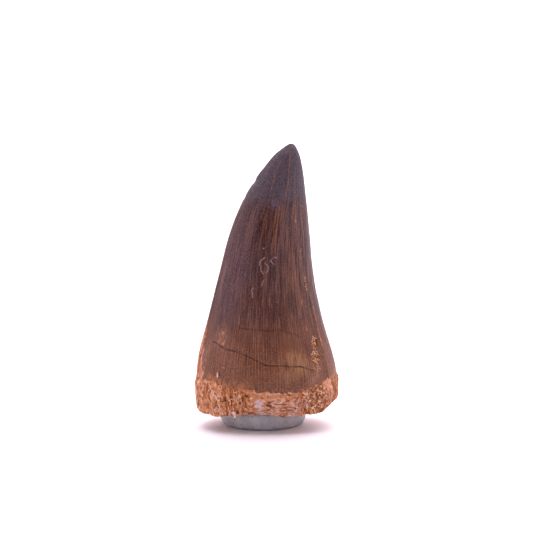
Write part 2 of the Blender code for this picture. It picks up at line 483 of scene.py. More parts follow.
# Wiggles of the paths, as height and size in mm.
RAGGED = ((0.20, 1.9), (0.12, 0.7))
JAGGED = ((0.12, 1.4), (0.08, 0.5), (0.04, 0.22))
BORDER_SEED, MAIN_CRACK_SEED, UPPER_CRACK_SEED = 2.0, 5.0, 8.0
# The edge of the matrix runs nearly straight within these degrees of the flat broken face.
BROKEN_FACE = -27
STRAIGHT_REACH = (14, 18)
STRAIGHTENED = 0.9


def border_heights(angles):
    """The edge of the matrix: ragged all round, but nearly straight above the broken face."""
    plain = path_heights(BORDER_PATH, (), BORDER_SEED, angles)
    ragged = path_heights(BORDER_PATH, RAGGED, BORDER_SEED, angles)
    straight = 1 - smooth_step(*STRAIGHT_REACH, np.abs(np.degrees(angles) - BROKEN_FACE))
    return plain + (ragged - plain) * (1 - STRAIGHTENED * straight)


print("points on the three paths:", len(BORDER_PATH + MAIN_CRACK_PATH + UPPER_CRACK_PATH))

# %% Rings of the crown
# How far over a crack and over the edge of the matrix its close rings run, in mm.
CRACK_BUNDLE = np.array((-0.30, -0.14, -0.06, 0.0, 0.06, 0.14, 0.30))[:, None]
BELOW_BORDER = np.array((-1.3, -0.9, -0.6, -0.35, -0.15, 0.05, 0.25))[:, None]
CROWN_COLUMNS = 640
RINGS_LOW = 19
RINGS_MID = 14
RINGS_HIGH = 99

crown_angles = column_angles(CROWN_COLUMNS)
crown_border = border_heights(crown_angles)
main_crack = path_heights(MAIN_CRACK_PATH, JAGGED, MAIN_CRACK_SEED, crown_angles)
upper_crack = path_heights(UPPER_CRACK_PATH, JAGGED, UPPER_CRACK_SEED, crown_angles)
led = np.concatenate([
    crown_border + BELOW_BORDER,
    spread(crown_border + BELOW_BORDER[-1], main_crack + CRACK_BUNDLE[0], RINGS_LOW),
    main_crack + CRACK_BUNDLE,
    spread(main_crack + CRACK_BUNDLE[-1], upper_crack + CRACK_BUNDLE[0], RINGS_MID),
    upper_crack + CRACK_BUNDLE,
])
led_lines = line_at(led, crown_angles)
shares = (np.arange(RINGS_HIGH) + 1)[:, None] / RINGS_HIGH
lines = np.concatenate([led_lines, led_lines[-1] + (TIP_FIRST - led_lines[-1]) * shares])
crown = Skin(lines, crown_angles)
print("rings on the crown:", len(lines), " columns:", CROWN_COLUMNS)

# %% [markdown]
# ## Relief of the enamel
#
# A mosasaur crown carries two cutting edges (carinae), and its enamel is drawn out into fine
# lengthwise ridges that meet at the tip. They are 0.4 mm apart near the base. Higher up many of
# them end, so the rest stand wider apart. Cracks, a chipped notch in the front edge and the gouge
# beside the back carina are cut in afterwards. All of it is one height, added along the way out.

# %% Cutting edges
BACK_CARINA_HEIGHT = 0.07
FRONT_CARINA_HEIGHT = 0.04
CARINA_WIDTH = 0.30
CARINA_FADE = (33.0, 17.0)
FLANK_DIP = 0.03
FLANK_WIDTH = 1.1
FRONT_CARINA = -167.7
BACK_CARINA_PATH = (
    # growth line, degrees round
    (2.3, -56.0), (2.9, -52.0), (3.7, -49.5), (4.4, -44.5), (4.9, -39.0), (5.3, -32.0),
    (5.7, -28.6), (9.0, -28.6),
)


def groove(distance, width):
    """1 on a line, and falling away smoothly over a width on both sides of it."""
    return np.exp(-((distance / width) ** 2))


back_carina = np.interp(crown.lines, *np.array(BACK_CARINA_PATH).T)
from_back_carina = crown.across_from(back_carina)
from_front_carina = crown.across_from(FRONT_CARINA)
carina = 0.0
for distance, height, dip in (
    (from_back_carina, BACK_CARINA_HEIGHT, FLANK_DIP),
    (from_front_carina, FRONT_CARINA_HEIGHT, 0.0),
):
    carina = carina + height * groove(distance, CARINA_WIDTH)
    carina = carina - dip * groove(distance - FLANK_WIDTH, FLANK_WIDTH)
carina = carina * smooth_step(*CARINA_FADE, crown.height)
print("the carinae stand out by, in mm:", round(float(carina.max()), 3))

# %% Lengthwise ridges and folds
RIDGES_ROUND = CROWN_COLUMNS // 4
RIDGE_HEIGHT = 0.014
RIDGE_SHARE = 0.72
FOLD_HEIGHT = 0.035
# Folds start and are full where the crown's half width is this.
FOLDS_FROM = (1.0, 5.0)
# The ridges thin out twice, between these heights.
LOW_TO_MID = (16.0, 24.0)
MID_TO_TOP = (28.0, 36.0)
# Lengthwise noises: weight, size across in mm, seed, size across as a share of the length.
WANDER = ((2.6, 2.2, 3.0, 0.08), (0.9, 0.8, 3.5, 0.08))
LOW_STRENGTH = ((1.3, 0.6, 6.0, 0.3),)
LOW_BETWEEN = ((0.7, 0.35, 6.5, 0.06),)
MID_RIDGES = ((2.0, 0.6, 15.0, 0.06), (1.4, 0.3, 15.5, 0.08))
TOP_RIDGES = ((1.6, 1.1, 16.0, 0.08), (1.4, 0.45, 16.5, 0.08))
FOLDS = ((1.0, 1.3, 4.0, 0.06), (0.5, 0.6, 7.0, 0.08))

ridge_low = np.cos(RIDGES_ROUND * crown_angles[None, :] + total(crown.streaks, WANDER))
ridge_low = ridge_low * (RIDGE_SHARE + total(crown.streaks, LOW_STRENGTH))
ridge_low = ridge_low + total(crown.streaks, LOW_BETWEEN)
ridge_mid = total(crown.streaks, MID_RIDGES)
ridge_top = total(crown.streaks, TOP_RIDGES)
above_low = smooth_step(*LOW_TO_MID, crown.height)
above_mid = smooth_step(*MID_TO_TOP, crown.height)
ridge = ridge_low * (1 - above_low) + above_low * (ridge_mid + (ridge_top - ridge_mid) * above_mid)
fold = total(crown.streaks, FOLDS) * smooth_step(*FOLDS_FROM, crown.half_width)
print("ridges round the base:", RIDGES_ROUND)

# %% Cracks
CRACK_DEPTH = 0.10
CRACK_WIDTH = 0.055
CRACK_LEDGE = 0.035
LEDGE_REACH = 1.6
# A short branch runs a little above the main crack, and climbs away from it by so much a degree.
BRANCH_ABOVE = 0.30
BRANCH_SLANT = 0.02
BRANCH_MIDDLE = -116
UPRIGHT_CRACK = -115.6
UPRIGHT_TOP = 19.0
UPRIGHT_WANDER = ((1.2, 0.6, 18.0, 1.0),)
# How open a crack is: weight, from and to which degrees round, degrees of fade.
MAIN_OPEN = ((1.0, -147, -46, 4), (0.7, 48, 112, 5))
UPPER_OPEN = ((0.3, -151, -134, 2), (0.5, -117, -53, 3))
BRANCH_OPEN = ((0.8, -122, -110, 2),)
OPEN_NOISE = ((0.6, 0.9, 17.0, 1.0),)
OPEN_SHARE = 0.85
DARK_WIDTH = 0.105
DARK_NOISE = ((0.6, 1.3, 17.5, 1.0),)

broken_line = OPEN_SHARE + total(crown.streaks, OPEN_NOISE)
open_main = broken_line * total(crown.between, MAIN_OPEN)
from_main = crown.height - main_crack
from_branch = from_main - BRANCH_ABOVE - BRANCH_SLANT * crown.turn_from(BRANCH_MIDDLE)
upright_path = UPRIGHT_CRACK + total(crown.streaks, UPRIGHT_WANDER)
past_upright = np.maximum(np.maximum(upper_crack - crown.height, crown.height - UPRIGHT_TOP), 0.0)
from_upright = np.hypot(crown.across_from(upright_path), past_upright)
cracks = (
    # how open, distance in mm, share of the depth, darkness, width of the dark line in mm
    (open_main, from_main, 1.0, 1.0, DARK_WIDTH * (1 + total(crown.streaks, DARK_NOISE))),
    (total(crown.between, BRANCH_OPEN), from_branch, 0.4, 0.6, 0.09),
    (broken_line * total(crown.between, UPPER_OPEN), crown.height - upper_crack, 0.6, 1.3, 0.11),
    (1.0, from_upright, 0.4, 0.75, 0.13),
)
crack_depth, crack_dark = 0.0, 0.0
for opened, distance, share, darkness, dark_width in cracks:
    crack_depth = crack_depth + CRACK_DEPTH * share * opened * groove(distance, CRACK_WIDTH)
    crack_dark = crack_dark + darkness * opened * groove(distance, dark_width)
crack_dark = np.clip(crack_dark, 0, 1)
ledge = CRACK_LEDGE * open_main * smooth_step(-LEDGE_REACH, 0.0, from_main) * (from_main < 0)
print("deepest crack in mm:", round(float(crack_depth.max()), 3))

# %% Gouge, notches and the whole relief
CROWN_SWELL = (0.05, 6.0, 9.4)
GOUGE_DEPTH = 0.24
GOUGE_CELL = 0.27
# Patches: weight, degrees round, height, half width and half height in mm, where it fades.
GOUGE_PATCHES = (
    (1.0, -38.0, 14.1, 0.85, 0.75, 0.4, 1.25), (1.0, -41.5, 11.9, 0.9, 1.1, 0.4, 1.25),
)
GOUGE_RAG = ((0.5, 0.7, 19.0, 0.8), (0.5, 0.3, 19.5, 0.8))
GOUGE_EDGE = (0.42, 0.62)
NOTCHES = (
    (-0.24, -176, 39.2, 1.7, 0.55, 0.2, 1.1), (-0.12, -176, 36.7, 1.5, 0.40, 0.2, 1.1),
    (0.08, -176, 40.6, 1.6, 0.9, 0.1, 1.2),
)
# A low swelling of the front edge: its height and middle, and how far up and down it reaches.
FRONT_SWELL, FRONT_SWELL_AT, FRONT_SWELL_REACH = 0.16, 12.8, 3.0
# The crown sinks by this much where the matrix covers it, between these heights over its edge.
BORDER_SINK = 0.45
SINK_FROM = (-0.9, -0.25)

gouged = np.clip(total(crown.patch, GOUGE_PATCHES), 0, 1)
gouge = smooth_step(*GOUGE_EDGE, gouged + total(crown.streaks, GOUGE_RAG)) * (gouged > 0.01)
_, _, gouge_tone, gouge_slope = cells_over(crown.grown, GOUGE_CELL, 20.0)
gouge_floor = 0.6 * carina + GOUGE_DEPTH * (0.3 * gouge_tone - 0.7) + 0.06 * gouge_slope

relief = carina + RIDGE_HEIGHT * ridge + FOLD_HEIGHT * fold
relief = relief + lumps(crown.smooth, *CROWN_SWELL) - crack_depth - ledge
relief = relief + total(crown.patch, NOTCHES)
relief = relief * (1 - gouge) + gouge * gouge_floor
front_swell = FRONT_SWELL * groove(crown.height - FRONT_SWELL_AT, FRONT_SWELL_REACH)
relief = relief + crown.between(-200, -160, 8) * front_swell
above_border = crown.height - crown_border
relief = relief - BORDER_SINK * (1 - smooth_step(*SINK_FROM, above_border))
print("enamel relief in mm:", round(float(relief.min()), 3), "to", round(float(relief.max()), 3))

# %% [markdown]
# ## From numbers to a mesh
#
# Blender makes the mesh: a cylinder primitive with closed ends, whose upright edges are subdivided
# into rings. Each vertex then reads its ring and column from its place on the unit cylinder, and
# moves to its place on the tooth. This keeps the surface closed, with one clean grid of faces.
# The base has three flat chips: points that stand proud of a chip's face are pushed back to it.

# %% Chips out of the base
CHIPS = (
    # a point of the flat face in mm, and the way that the face looks
    ((11.12, -1.05, 4.0), (0.60, -0.08, -0.80)),
    ((-10.35, -2.5, 2.75), (-0.72, -0.18, -0.67)),
    ((9.3, -6.9, 6.0), (0.66, -0.74, 0.05)),
)


def broken_off(points, roughness=0.0):
    """The points, pushed back onto any broken face that they stand proud of, and how far."""
    pushed = np.zeros(points.shape[:-1])
    for through, facing in CHIPS:
        normal = np.array(facing) / np.linalg.norm(facing)
        proud = np.maximum((points - np.array(through)) @ normal - roughness, 0.0)
        points = points - proud[..., None] * normal
        pushed = pushed + proud
    return points, pushed


crown_surface, pushed = broken_off(crown.smooth + crown.outward * relief[..., None])
print("most that a chip takes off the crown in mm:", round(float(pushed.max()), 2))

# %% Wrapping a cylinder over a skin


def wrapped(name, surface, bottom, top):
    """A closed mesh over a grid of points in mm, and a function that notes values on it."""
    rings, columns = surface.shape[:2]
    shape = bmesh.new()
    bmesh.ops.create_cone(
        shape, cap_ends=True, cap_tris=True, segments=columns, radius1=1, radius2=1, depth=1
    )
    upright = [e for e in shape.edges if abs(e.verts[0].co.z - e.verts[1].co.z) > 0.5]
    bmesh.ops.subdivide_edges(shape, edges=upright, cuts=rings - 2, use_grid_fill=True)
    mesh = bpy.data.meshes.new(name)
    shape.to_mesh(mesh)
    shape.free()
    unit = np.empty(len(mesh.vertices) * 3)
    mesh.vertices.foreach_get("co", unit)
    unit = unit.reshape(-1, 3)
    ring = np.round((unit[:, 2] + 0.5) * (rings - 1)).astype(int)
    turn = (np.arctan2(unit[:, 1], unit[:, 0]) + math.pi) / (2 * math.pi)
    column = np.round(turn * columns).astype(int) % columns
    on_axis = np.hypot(unit[:, 0], unit[:, 1]) < 0.5
    place = surface[ring, column]
    place[on_axis & (ring == 0)] = bottom
    place[on_axis & (ring > 0)] = top
    mesh.vertices.foreach_set("co", (place * MM).ravel())
    mesh.update()

    def keep(note, values):
        kind, key = ("FLOAT_VECTOR", "vector") if values.ndim == 3 else ("FLOAT", "value")
        attribute = mesh.attributes.new(note, kind, "POINT")
        attribute.data.foreach_set(key, values[ring, column].astype(np.float32).ravel())

    print(name, "has", len(mesh.polygons), "faces and spans", np.ptp(place, axis=0).round(2), "mm")
    return mesh, keep


def finish_piece(mesh, material, nodes=()):
    """Puts a finished mesh in the scene as a piece that rides on the root body."""
    mesh.materials.append(material)
    mesh.shade_smooth()
    piece = bpy.data.objects.new(mesh.name, mesh)
    bpy.context.scene.collection.objects.link(piece)
    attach(piece, "root")
    if nodes:
        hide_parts(*nodes)
    print(piece.name, "wears", material.name, "of", len(material.node_tree.nodes), "nodes")
    return piece


crown_middle = section(crown.lines[0].mean())[0]
crown_middle[2] = crown_surface[0, :, 2].mean()
crown_mesh, keep = wrapped("enamel_crown", crown_surface, crown_middle, section(0.0)[0])

# %% [markdown]
# ## Notes for the enamel's material
#
# The material needs to know where it is on the tooth: how far above the edge of the matrix, how
# near a crack, in which stained or worn patch. Each is worked out here once and kept on the
# vertices. Worn enamel breaks off in flecks along the carinae, so those masks are cut by noise.

# %% Stains and seams
TIP_SEAMS = (
    # points as (height in mm, degrees round), from the top down
    ((43.7, -79), (41.3, -76), (39.6, -72), (37.3, -73)),
    ((42.7, -111), (41.2, -114), (39.9, -107), (38.1, -106)),
    ((40.7, -56), (37.9, -52), (35.4, -50.5), (33.0, -50)),
    ((41.0, 70), (36.0, 78), (31.0, 76)),
    ((27.0, 118), (20.0, 124), (15.0, 121)),
)
STAINS = {
    # patches: weight, degrees round, height, half width and half height in mm, where it fades
    "gold": (
        (1.0, -93, 32.2, 1.7, 4.9, 0.4, 1.2), (0.8, -55, 27.0, 1.9, 5.5, 0.3, 1.2),
        (0.5, -47, 22.0, 1.6, 6.0, 0.3, 1.2), (0.8, 80, 27.0, 2.6, 8.0, 0.3, 1.1),
    ),
    # A cool grey-violet tone on the front flank and beside the back carina: partly the enamel's own, partly
    # a painted sheen of the bright tent cloth.
    "cool_tone_and_sheen": ((1.0, -138, 25.0, 4.2, 12.0, 0.3, 1.2), (0.45, -47, 30.5, 1.4, 5.0, 0.3, 1.2)),
    "tan": (
        (1.0, -65, 12.0, 1.9, 1.8, 0.1, 1.3), (0.6, -70, 9.5, 2.2, 1.4, 0.1, 1.3),
        (1.1, -57, 10.8, 2.0, 2.0, 0.1, 1.2), (0.7, 95, 10.5, 2.0, 1.8, 0.4, 1.1),
        (0.3, -66, 15.6, 2.6, 1.6, 0.1, 1.2),
    ),
    "dark_stain": (
        (1.0, -97, 29.0, 2.8, 7.0, 0.2, 1.3), (0.9, -95, 27.0, 2.2, 3.5, 0.2, 1.3),
        (0.35, -90, 19.0, 3.4, 8.0, 0.2, 1.3), (0.9, -110, 32.5, 1.1, 3.0, 0.2, 1.3),
        (0.35, -44, 31.5, 1.2, 4.0, 0.2, 1.3), (0.5, -25, 29.5, 0.8, 2.0, 0.2, 1.3),
    ),
    "thin_stain": (
        (1.0, -126, 12.0, 3.2, 2.8, 0.1, 1.3), (0.5, -123, 32.0, 1.2, 4.0, 0.1, 1.3),
        (0.45, -48, 23.0, 1.8, 6.0, 0.1, 1.3), (0.4, -46, 15.0, 1.6, 3.0, 0.1, 1.3),
        (1.5, -49, 8.4, 1.3, 1.5, 0.1, 1.3),
    ),
    "grey_cloud": ((1.0, -90, 36.0, 0.8, 0.9, 0.2, 1.2),),
    "dark_dot": ((1.0, -131.3, 9.3, 0.2, 0.35, 0.4, 1.1), (0.6, -37, 23.6, 0.4, 0.9, 0.4, 1.2)),
    "chafed": (
        (1.0, -136, 15.0, 2.3, 2.4, 0.1, 1.2), (0.7, -152, 12.5, 1.5, 3.0, 0.1, 1.2),
        (0.9, -44, 9.8, 1.2, 2.0, 0.1, 1.2),
    ),
}
MATT_EDGE_WIDTH = 1.3

enamel_notes = {note: total(crown.patch, patches) for note, patches in STAINS.items()}
for note in ("gold", "tan"):
    enamel_notes[note] = np.clip(enamel_notes[note], 0, 1)
enamel_notes.update({
    "above_border": above_border, "crack": crack_dark, "ridge": ridge, "growth": crown.grown,
    # The tongue side is darkened in both materials with painted shade, against the strong lamp behind it.
    "gouge": gouge, "gouge_tone": gouge_tone, "tongue_side_painted_shade": crown.between(15, 165, 25),
    "seam_gap": np.minimum.reduce([crown.seam_gap(path) for path in TIP_SEAMS]),
    "matt_edge": groove(from_front_carina, MATT_EDGE_WIDTH),
    "blend": crown.between(-150, -106, 8),
})
print("stains on the enamel:", ", ".join(STAINS))

# %% Worn flecks, and keeping every note
WORN_PATCHES = (
    (0.85, -134, 15.2, 1.6, 1.9, 0.1, 1.2), (0.45, -37, 23.6, 0.5, 1.4, 0.5, 1.2),
    (0.7, -49, 17.4, 0.5, 0.6, 0.2, 1.2), (0.45, -41, 28.0, 0.3, 1.2, 0.4, 1.2),
    (0.6, -50.5, 33.8, 0.22, 1.1, 0.2, 1.2), (0.6, -46.4, 30.4, 0.22, 0.8, 0.2, 1.2),
    (0.8, -45, 20.2, 0.6, 1.3, 0.2, 1.2), (0.6, -44, 16.8, 1.0, 0.8, 0.2, 1.2),
    (0.55, -82, 19.9, 0.5, 1.1, 0.2, 1.2), (0.55, -45, 9.4, 1.0, 1.2, 0.2, 1.2),
    (0.5, -142, 9.0, 1.2, 0.6, 0.2, 1.2),
)
FLECKS = ((1.0, 0.22, 23.0, 0.45), (0.6, 0.6, 24.0, 0.4))
WORN_CARINA_WIDTH = 0.19
# Heights over which wear on the back carina ends at the top, ends at the bottom, and doubles.
WEAR_TOP, WEAR_BOTTOM, WEAR_GROWS = (31, 18), (12.8, 13.6), (22, 18)
# The worn strip round the front edge: its two sides as (height, degrees round), its top, and how
# far in mm its ragged side, its bites and its flecks reach.
STRIP_LEFT = ((7.5, -214.0), (10.0, -203.0), (13.5, -188.0), (17.5, -175.0))
STRIP_RIGHT = ((7.5, -149.0), (10.0, -156.0), (13.0, -163.0), (17.0, -169.0))
STRIP_TOP = (17.6, 15.8)
STRIP_RAG = ((1.4, 1.5, 25.5, 0.7),)
STRIP_BITES = ((1.0, 1.0, 27.0, 0.6),)
BITE_DEPTH = 1.5
FLECK_REACH = 1.5

flecks = total(crown.streaks, FLECKS)
on_carina = groove(from_back_carina, WORN_CARINA_WIDTH) * smooth_step(*WEAR_TOP, crown.height)
on_carina = on_carina * smooth_step(*WEAR_BOTTOM, crown.height)
flaked = total(crown.patch, WORN_PATCHES)
flaked = flaked + on_carina * (0.5 + 0.6 * smooth_step(*WEAR_GROWS, crown.height))
around = crown.turn_from(-180) - 180
strip_left, strip_right = (
    np.interp(crown.height, *np.array(path).T) for path in (STRIP_LEFT, STRIP_RIGHT)
)
inside_strip = np.radians(np.minimum(around - strip_left, strip_right - around)) * crown.half_width
inside_strip = inside_strip + total(crown.streaks, STRIP_RAG) * smooth_step(-170, -180, around)
bites = BITE_DEPTH * smooth_step(0.05, 0.35, total(crown.streaks, STRIP_BITES))
worn_strip = smooth_step(-0.25, 0.35, inside_strip - bites - FLECK_REACH * flecks)
worn_strip = worn_strip * smooth_step(*STRIP_TOP, crown.height + flecks)
worn = np.clip(smooth_step(0.28, 0.48, flaked * (0.30 + flecks)) + worn_strip, 0, 1)
enamel_notes.update({"worn": worn, "chafed": enamel_notes["chafed"] + 0.4 * on_carina})
for note, values in enamel_notes.items():
    keep(note, values)
print("notes kept on the enamel:", len(enamel_notes))

# %% [markdown]
# ## Material: stained enamel
#
# Fossil enamel is apatite with a satin polish and a thin coat of hardener (IOR about 1.5), stained
# brown by iron and grey at the tip. Its colour is laid on in layers, like washes of paint: a base
# that changes with height, then lengthwise streaks that follow the ridges, golden where the stain
# is thin, orange rock in the worn edges and seams, and dark cracks. Some layers are painted light:
# a grey-violet sheen on the flanks, highlight and shade on the ridges, and shade on the tongue side.

# %% Enamel that changes with height
ENAMEL_BY_HEIGHT = (
    # height in mm, colour
    (7.0, "#6d4327"), (9.0, "#744829"), (12.0, "#71472d"), (15.0, "#66402e"), (19.0, "#4f3328"),
    (24.0, "#412924"), (31.0, "#38231f"), (36.0, "#473537"), (45.0, "#49424b"),
)
LOWEST, TALLEST = 4.5, 47.5
# How far blotches move these colours up or down, in mm.
BLOTCH_SHIFT = 5.0

enamel_material, tree, shader = new_material("stained_enamel")
growth = noted(tree, "growth", "Vector")
height_at = add(tree, "ShaderNodeSeparateXYZ", {0: growth}).node.outputs["Z"]
blotch = grain(tree, growth, 0.35, 4.0)
ramp_share = ramped(math_of("MULTIPLY_ADD", blotch, BLOTCH_SHIFT, height_at), LOWEST, TALLEST)
ramp_share.node.interpolation_type = "LINEAR"
by_height = add(tree, "ShaderNodeValToRGB", {"Fac": ramp_share})
stops = by_height.node.color_ramp.elements
stops.remove(stops[1])
for index, (stop_height, hex_colour) in enumerate(ENAMEL_BY_HEIGHT):
    stop = stops[0] if index == 0 else stops.new(0.5)
    stop.position = (stop_height + BLOTCH_SHIFT / 2 - LOWEST) / (TALLEST - LOWEST)
    stop.color = linear(hex_colour)
print("colours by height:", len(stops))

# %% Noises and masks of the enamel
streak_wide = grain(tree, growth, 1.1, 4.0, (1, 1, 0.09))
streak = grain(tree, growth, 2.1, 4.0, (1, 1, 0.07))
streak_fine = grain(tree, growth, 3.6, 2.0, (1, 1, 0.12))
hair = grain(tree, growth, 3.8, 3.0, (1, 1, 0.08))
speckle = grain(tree, growth, 3.2, 3.0)
grit = grain(tree, growth, 2.2, 4.0, (1, 1, 0.5))
worn_grit = grain(tree, growth, 2.6, 5.0, (1, 1, 0.35))
dust = grain(tree, object_place(tree), 4.6, 2.0)
upper = ramped(height_at, 19, 29)
below_tip = ramped(height_at, 38, 34)
cool_and_sheen_at, gold_at, worn_at = (noted(tree, note) for note in ("cool_tone_and_sheen", "gold", "worn"))
lively = times(ramped(height_at, 38, 35.5, 0.25, 1.0), ramped(cool_and_sheen_at, 0.0, 1.0, 1.0, 0.8))
dusty = math_of("ADD", ramped(height_at, 32, 38, 0.4, 0.6), ramped(height_at, 16, 11, 0.0, 0.4))
dusty = math_of("ADD", dusty, times(cool_and_sheen_at, ramped(height_at, 20, 26, 0.0, 0.25)))
ridge_at = noted(tree, "ridge")
above_at = noted(tree, "above_border")
gouge_at = noted(tree, "gouge")
grey_edge = math_of("MULTIPLY_ADD", streak, 7.0, height_at)
print("nodes so far:", len(tree.nodes))

# %% Stained enamel
enamel_colour = layered(by_height, [
    # lengthwise streaks, and golden ones where the stain is thin
    ("#2a191a", times(ramped(streak, 0.48, 0.36), upper, lively, 0.6)),
    ("#6c4937", times(ramped(streak, 0.52, 0.64), upper, lively, 0.5)),
    ("#6b4126", times(ramped(streak_wide, 0.47, 0.58), gold_at, below_tip, 0.6)),
    ("#7b4b2b", times(ramped(streak, 0.50, 0.62), gold_at, below_tip, 0.75)),
    ("#231210", times(ramped(streak, 0.50, 0.42), gold_at, below_tip, 0.85)),
    ("#2a1817", times(ramped(streak_wide, 0.46, 0.36), upper, lively, 0.4)),
    # the cool grey-violet front, partly the enamel's own tone and partly a painted sheen; darker and
    # thinner stains
    ("#57424a", times(cool_and_sheen_at, 0.55)),
    ("#2a1513", times(noted(tree, "dark_stain"), 0.42)),
    ("#a0705a", times(noted(tree, "thin_stain"), 0.3)),
    # painted highlight on the ridge crests and painted shade in their dips, the grey tip, hair-fine lines
    # and dust
    ("#9a6848", times(ramped(ridge_at, 0.1, 1.0), ramped(height_at, 26, 12, 0.22, 0.45), lively)),
    ("#4a2a1f", times(ramped(ridge_at, -0.1, -1.0), ramped(height_at, 26, 12, 0.5, 0.7), lively)),
    ("#4e484f", ramped(grey_edge, 39.0, 41.2, 0.0, 0.8)),
    ("#2a1817", times(ramped(hair, 0.50, 0.34, 0.0, 0.7), lively, ramped(height_at, 16, 28, 0.45, 1.0))),
    ("#86604f", times(ramped(hair, 0.54, 0.70, 0.0, 0.5), lively)),
    ("#1f1416", times(ramped(dust, 0.50, 0.32, 0.0, 0.62), dusty)),
    ("#8a6c62", times(ramped(dust, 0.50, 0.70, 0.0, 0.5), dusty)),
    ("#5f5866", times(noted(tree, "grey_cloud"), ramped(dust, 0.42, 0.56), 0.75)),
    # chafed and tan places, dirt and sand at the edge of the matrix
    ("#946a55", times(noted(tree, "chafed"), ramped(grit, 0.42, 0.56, 0.25, 0.8))),
    ("#9c704d", times(noted(tree, "tan"), ramped(streak_fine, 0.30, 0.60), 0.75)),
    ("#553521", times(ramped(above_at, 1.7, 0.2), ramped(blotch, 0.6, 0.4), 0.8)),
    ("#96592f", times(ramped(above_at, 1.1, 0.2), ramped(speckle, 0.50, 0.60), 0.7)),
    ("#a3673f", times(noted(tree, "blend"), ramped(above_at, 1.5, 0.1), ramped(grit, 0.44, 0.56), 0.85)),
    # worn flecks, which show the sandy rock
    ("#a1664a", worn_at),
    ("#ad6b3e", times(worn_at, ramped(above_at, 4.5, 0.5), 0.6)),
    ("#704330", times(worn_at, ramped(worn_grit, 0.46, 0.36, 0.0, 0.7))),
    ("#d7a28a", times(worn_at, ramped(worn_grit, 0.50, 0.64, 0.0, 0.9))),
    # seams, painted shade on the tongue side, cracks and small dark pits
    ("#7d5b49", times(ramped(noted(tree, "seam_gap"), 0.10, 0.03), ramped(speckle, 0.40, 0.52), 0.9)),
    ("#2c1a15", times(noted(tree, "tongue_side_painted_shade"), 0.42)),
    ("#1d0d0a", times(noted(tree, "crack"), 0.85)),
    ("#2a1714", noted(tree, "dark_dot")),
    # rock in the gouge
    ("#7d4a2c", gouge_at),
    ("#cf9c78", times(gouge_at, ramped(noted(tree, "gouge_tone"), 0.1, 0.6))),
    ("#3c2012", times(gouge_at, ramped(noted(tree, "gouge_tone"), -0.2, -0.7), 0.8)),
])
polish = ramped(streak_fine, 0.3, 0.7, 0.40, 0.52)
matt = math_of("MAXIMUM", gouge_at, times(noted(tree, "matt_edge"), 0.9))
gloss = add(tree, "ShaderNodeMix", {"Factor": matt, "A": polish, "B": 0.9}, data_type="FLOAT")
# The bump stands for hair-fine ridges, only hundredths of a millimetre high.
bump = add(tree, "ShaderNodeBump", {"Height": hair, "Distance": 0.03 * MM, "Strength": 0.8})
feed(shader, {"Base Color": enamel_colour, "Roughness": gloss, "Normal": bump, "IOR": 1.5})
finish_piece(crown_mesh, enamel_material, ["tooth"])

# %% [markdown]
# ## The matrix round the base
#
# The matrix is a sandy phosphate rock. Where it broke away from the root it left upright flakes
# on the left, flat pale splinters in the middle, coarse grains on the right and a smooth broken
# face beside them. Most steps between flakes follow the lines where a noise changes sign, and
# carry a thin pale vein that stands proud. The longest edges are placed one by one. Cells give
# each chunk its tone and slope, the plates their edges and the grains their roundness. All are
# stretched upwards or sideways to suit the place. The broken, hollow underside closes this skin.

# %% Matrix skin
MATRIX_COLUMNS = 900
MATRIX_RINGS = 88
MATRIX_TOP = 0.60

matrix_angles = column_angles(MATRIX_COLUMNS)
border = border_heights(matrix_angles)
rim = crown_form(np.full(MATRIX_COLUMNS, float(GROWTH_LINES)), matrix_angles)[0][:, 2]
matrix_heights = rim + (border + MATRIX_TOP - rim) * np.linspace(0, 1, MATRIX_RINGS)[:, None]
matrix = Skin(line_at(matrix_heights, matrix_angles), matrix_angles)
above = matrix.height - border
print("rings on the matrix:", MATRIX_RINGS, " columns:", MATRIX_COLUMNS)

# %% Chunks and grains of the rock
# Spans: weight, from and to which degrees round, degrees of fade.
UPRIGHT_SPANS = ((1.0, -210, -118, 8), (1.0, -36, 10, 6), (0.5, 30, 150, 10))
CHUNK_SIZE = 1.5
FLAKE_SIZE = 0.75
GRAIN_SIZE = 0.30


def rocky(size, seed):
    """A noise over the matrix, with blobs `size` mm across."""
    return noise_over(matrix.grown, size, seed)


upright_share = np.clip(total(matrix.between, UPRIGHT_SPANS), 0, 1)
flat_share = matrix.between(-110, -62, 7)
sideways = 1.0 + 0.6 * upright_share - 0.45 * flat_share
upwards = 1.0 - 0.5 * upright_share + 0.7 * flat_share
bend = np.stack([rocky(0.8, seed) for seed in (11, 12, 13)], axis=-1)
fine_bend = np.stack([rocky(0.3, seed) for seed in (14, 15, 16)], axis=-1)
bent = matrix.grown * np.stack([sideways, sideways, upwards], axis=-1)
bent = bent + (0.30 - 0.16 * upright_share)[..., None] * bend + 0.08 * fine_bend
_, chunk_gap, chunk_tone, chunk_slope = cells_over(bent, CHUNK_SIZE, 21.0)
_, _, _, flake_slope = cells_over(bent, FLAKE_SIZE, 25.0)
grain_place = matrix.grown + 0.1 * fine_bend
from_grain, grain_gap, grain_tone, _ = cells_over(grain_place, GRAIN_SIZE, 31.0)
ragged = 0.8 * rocky(0.5, 45.0)
print("share of the band with upright flakes:", round(float(upright_share.mean()), 2))

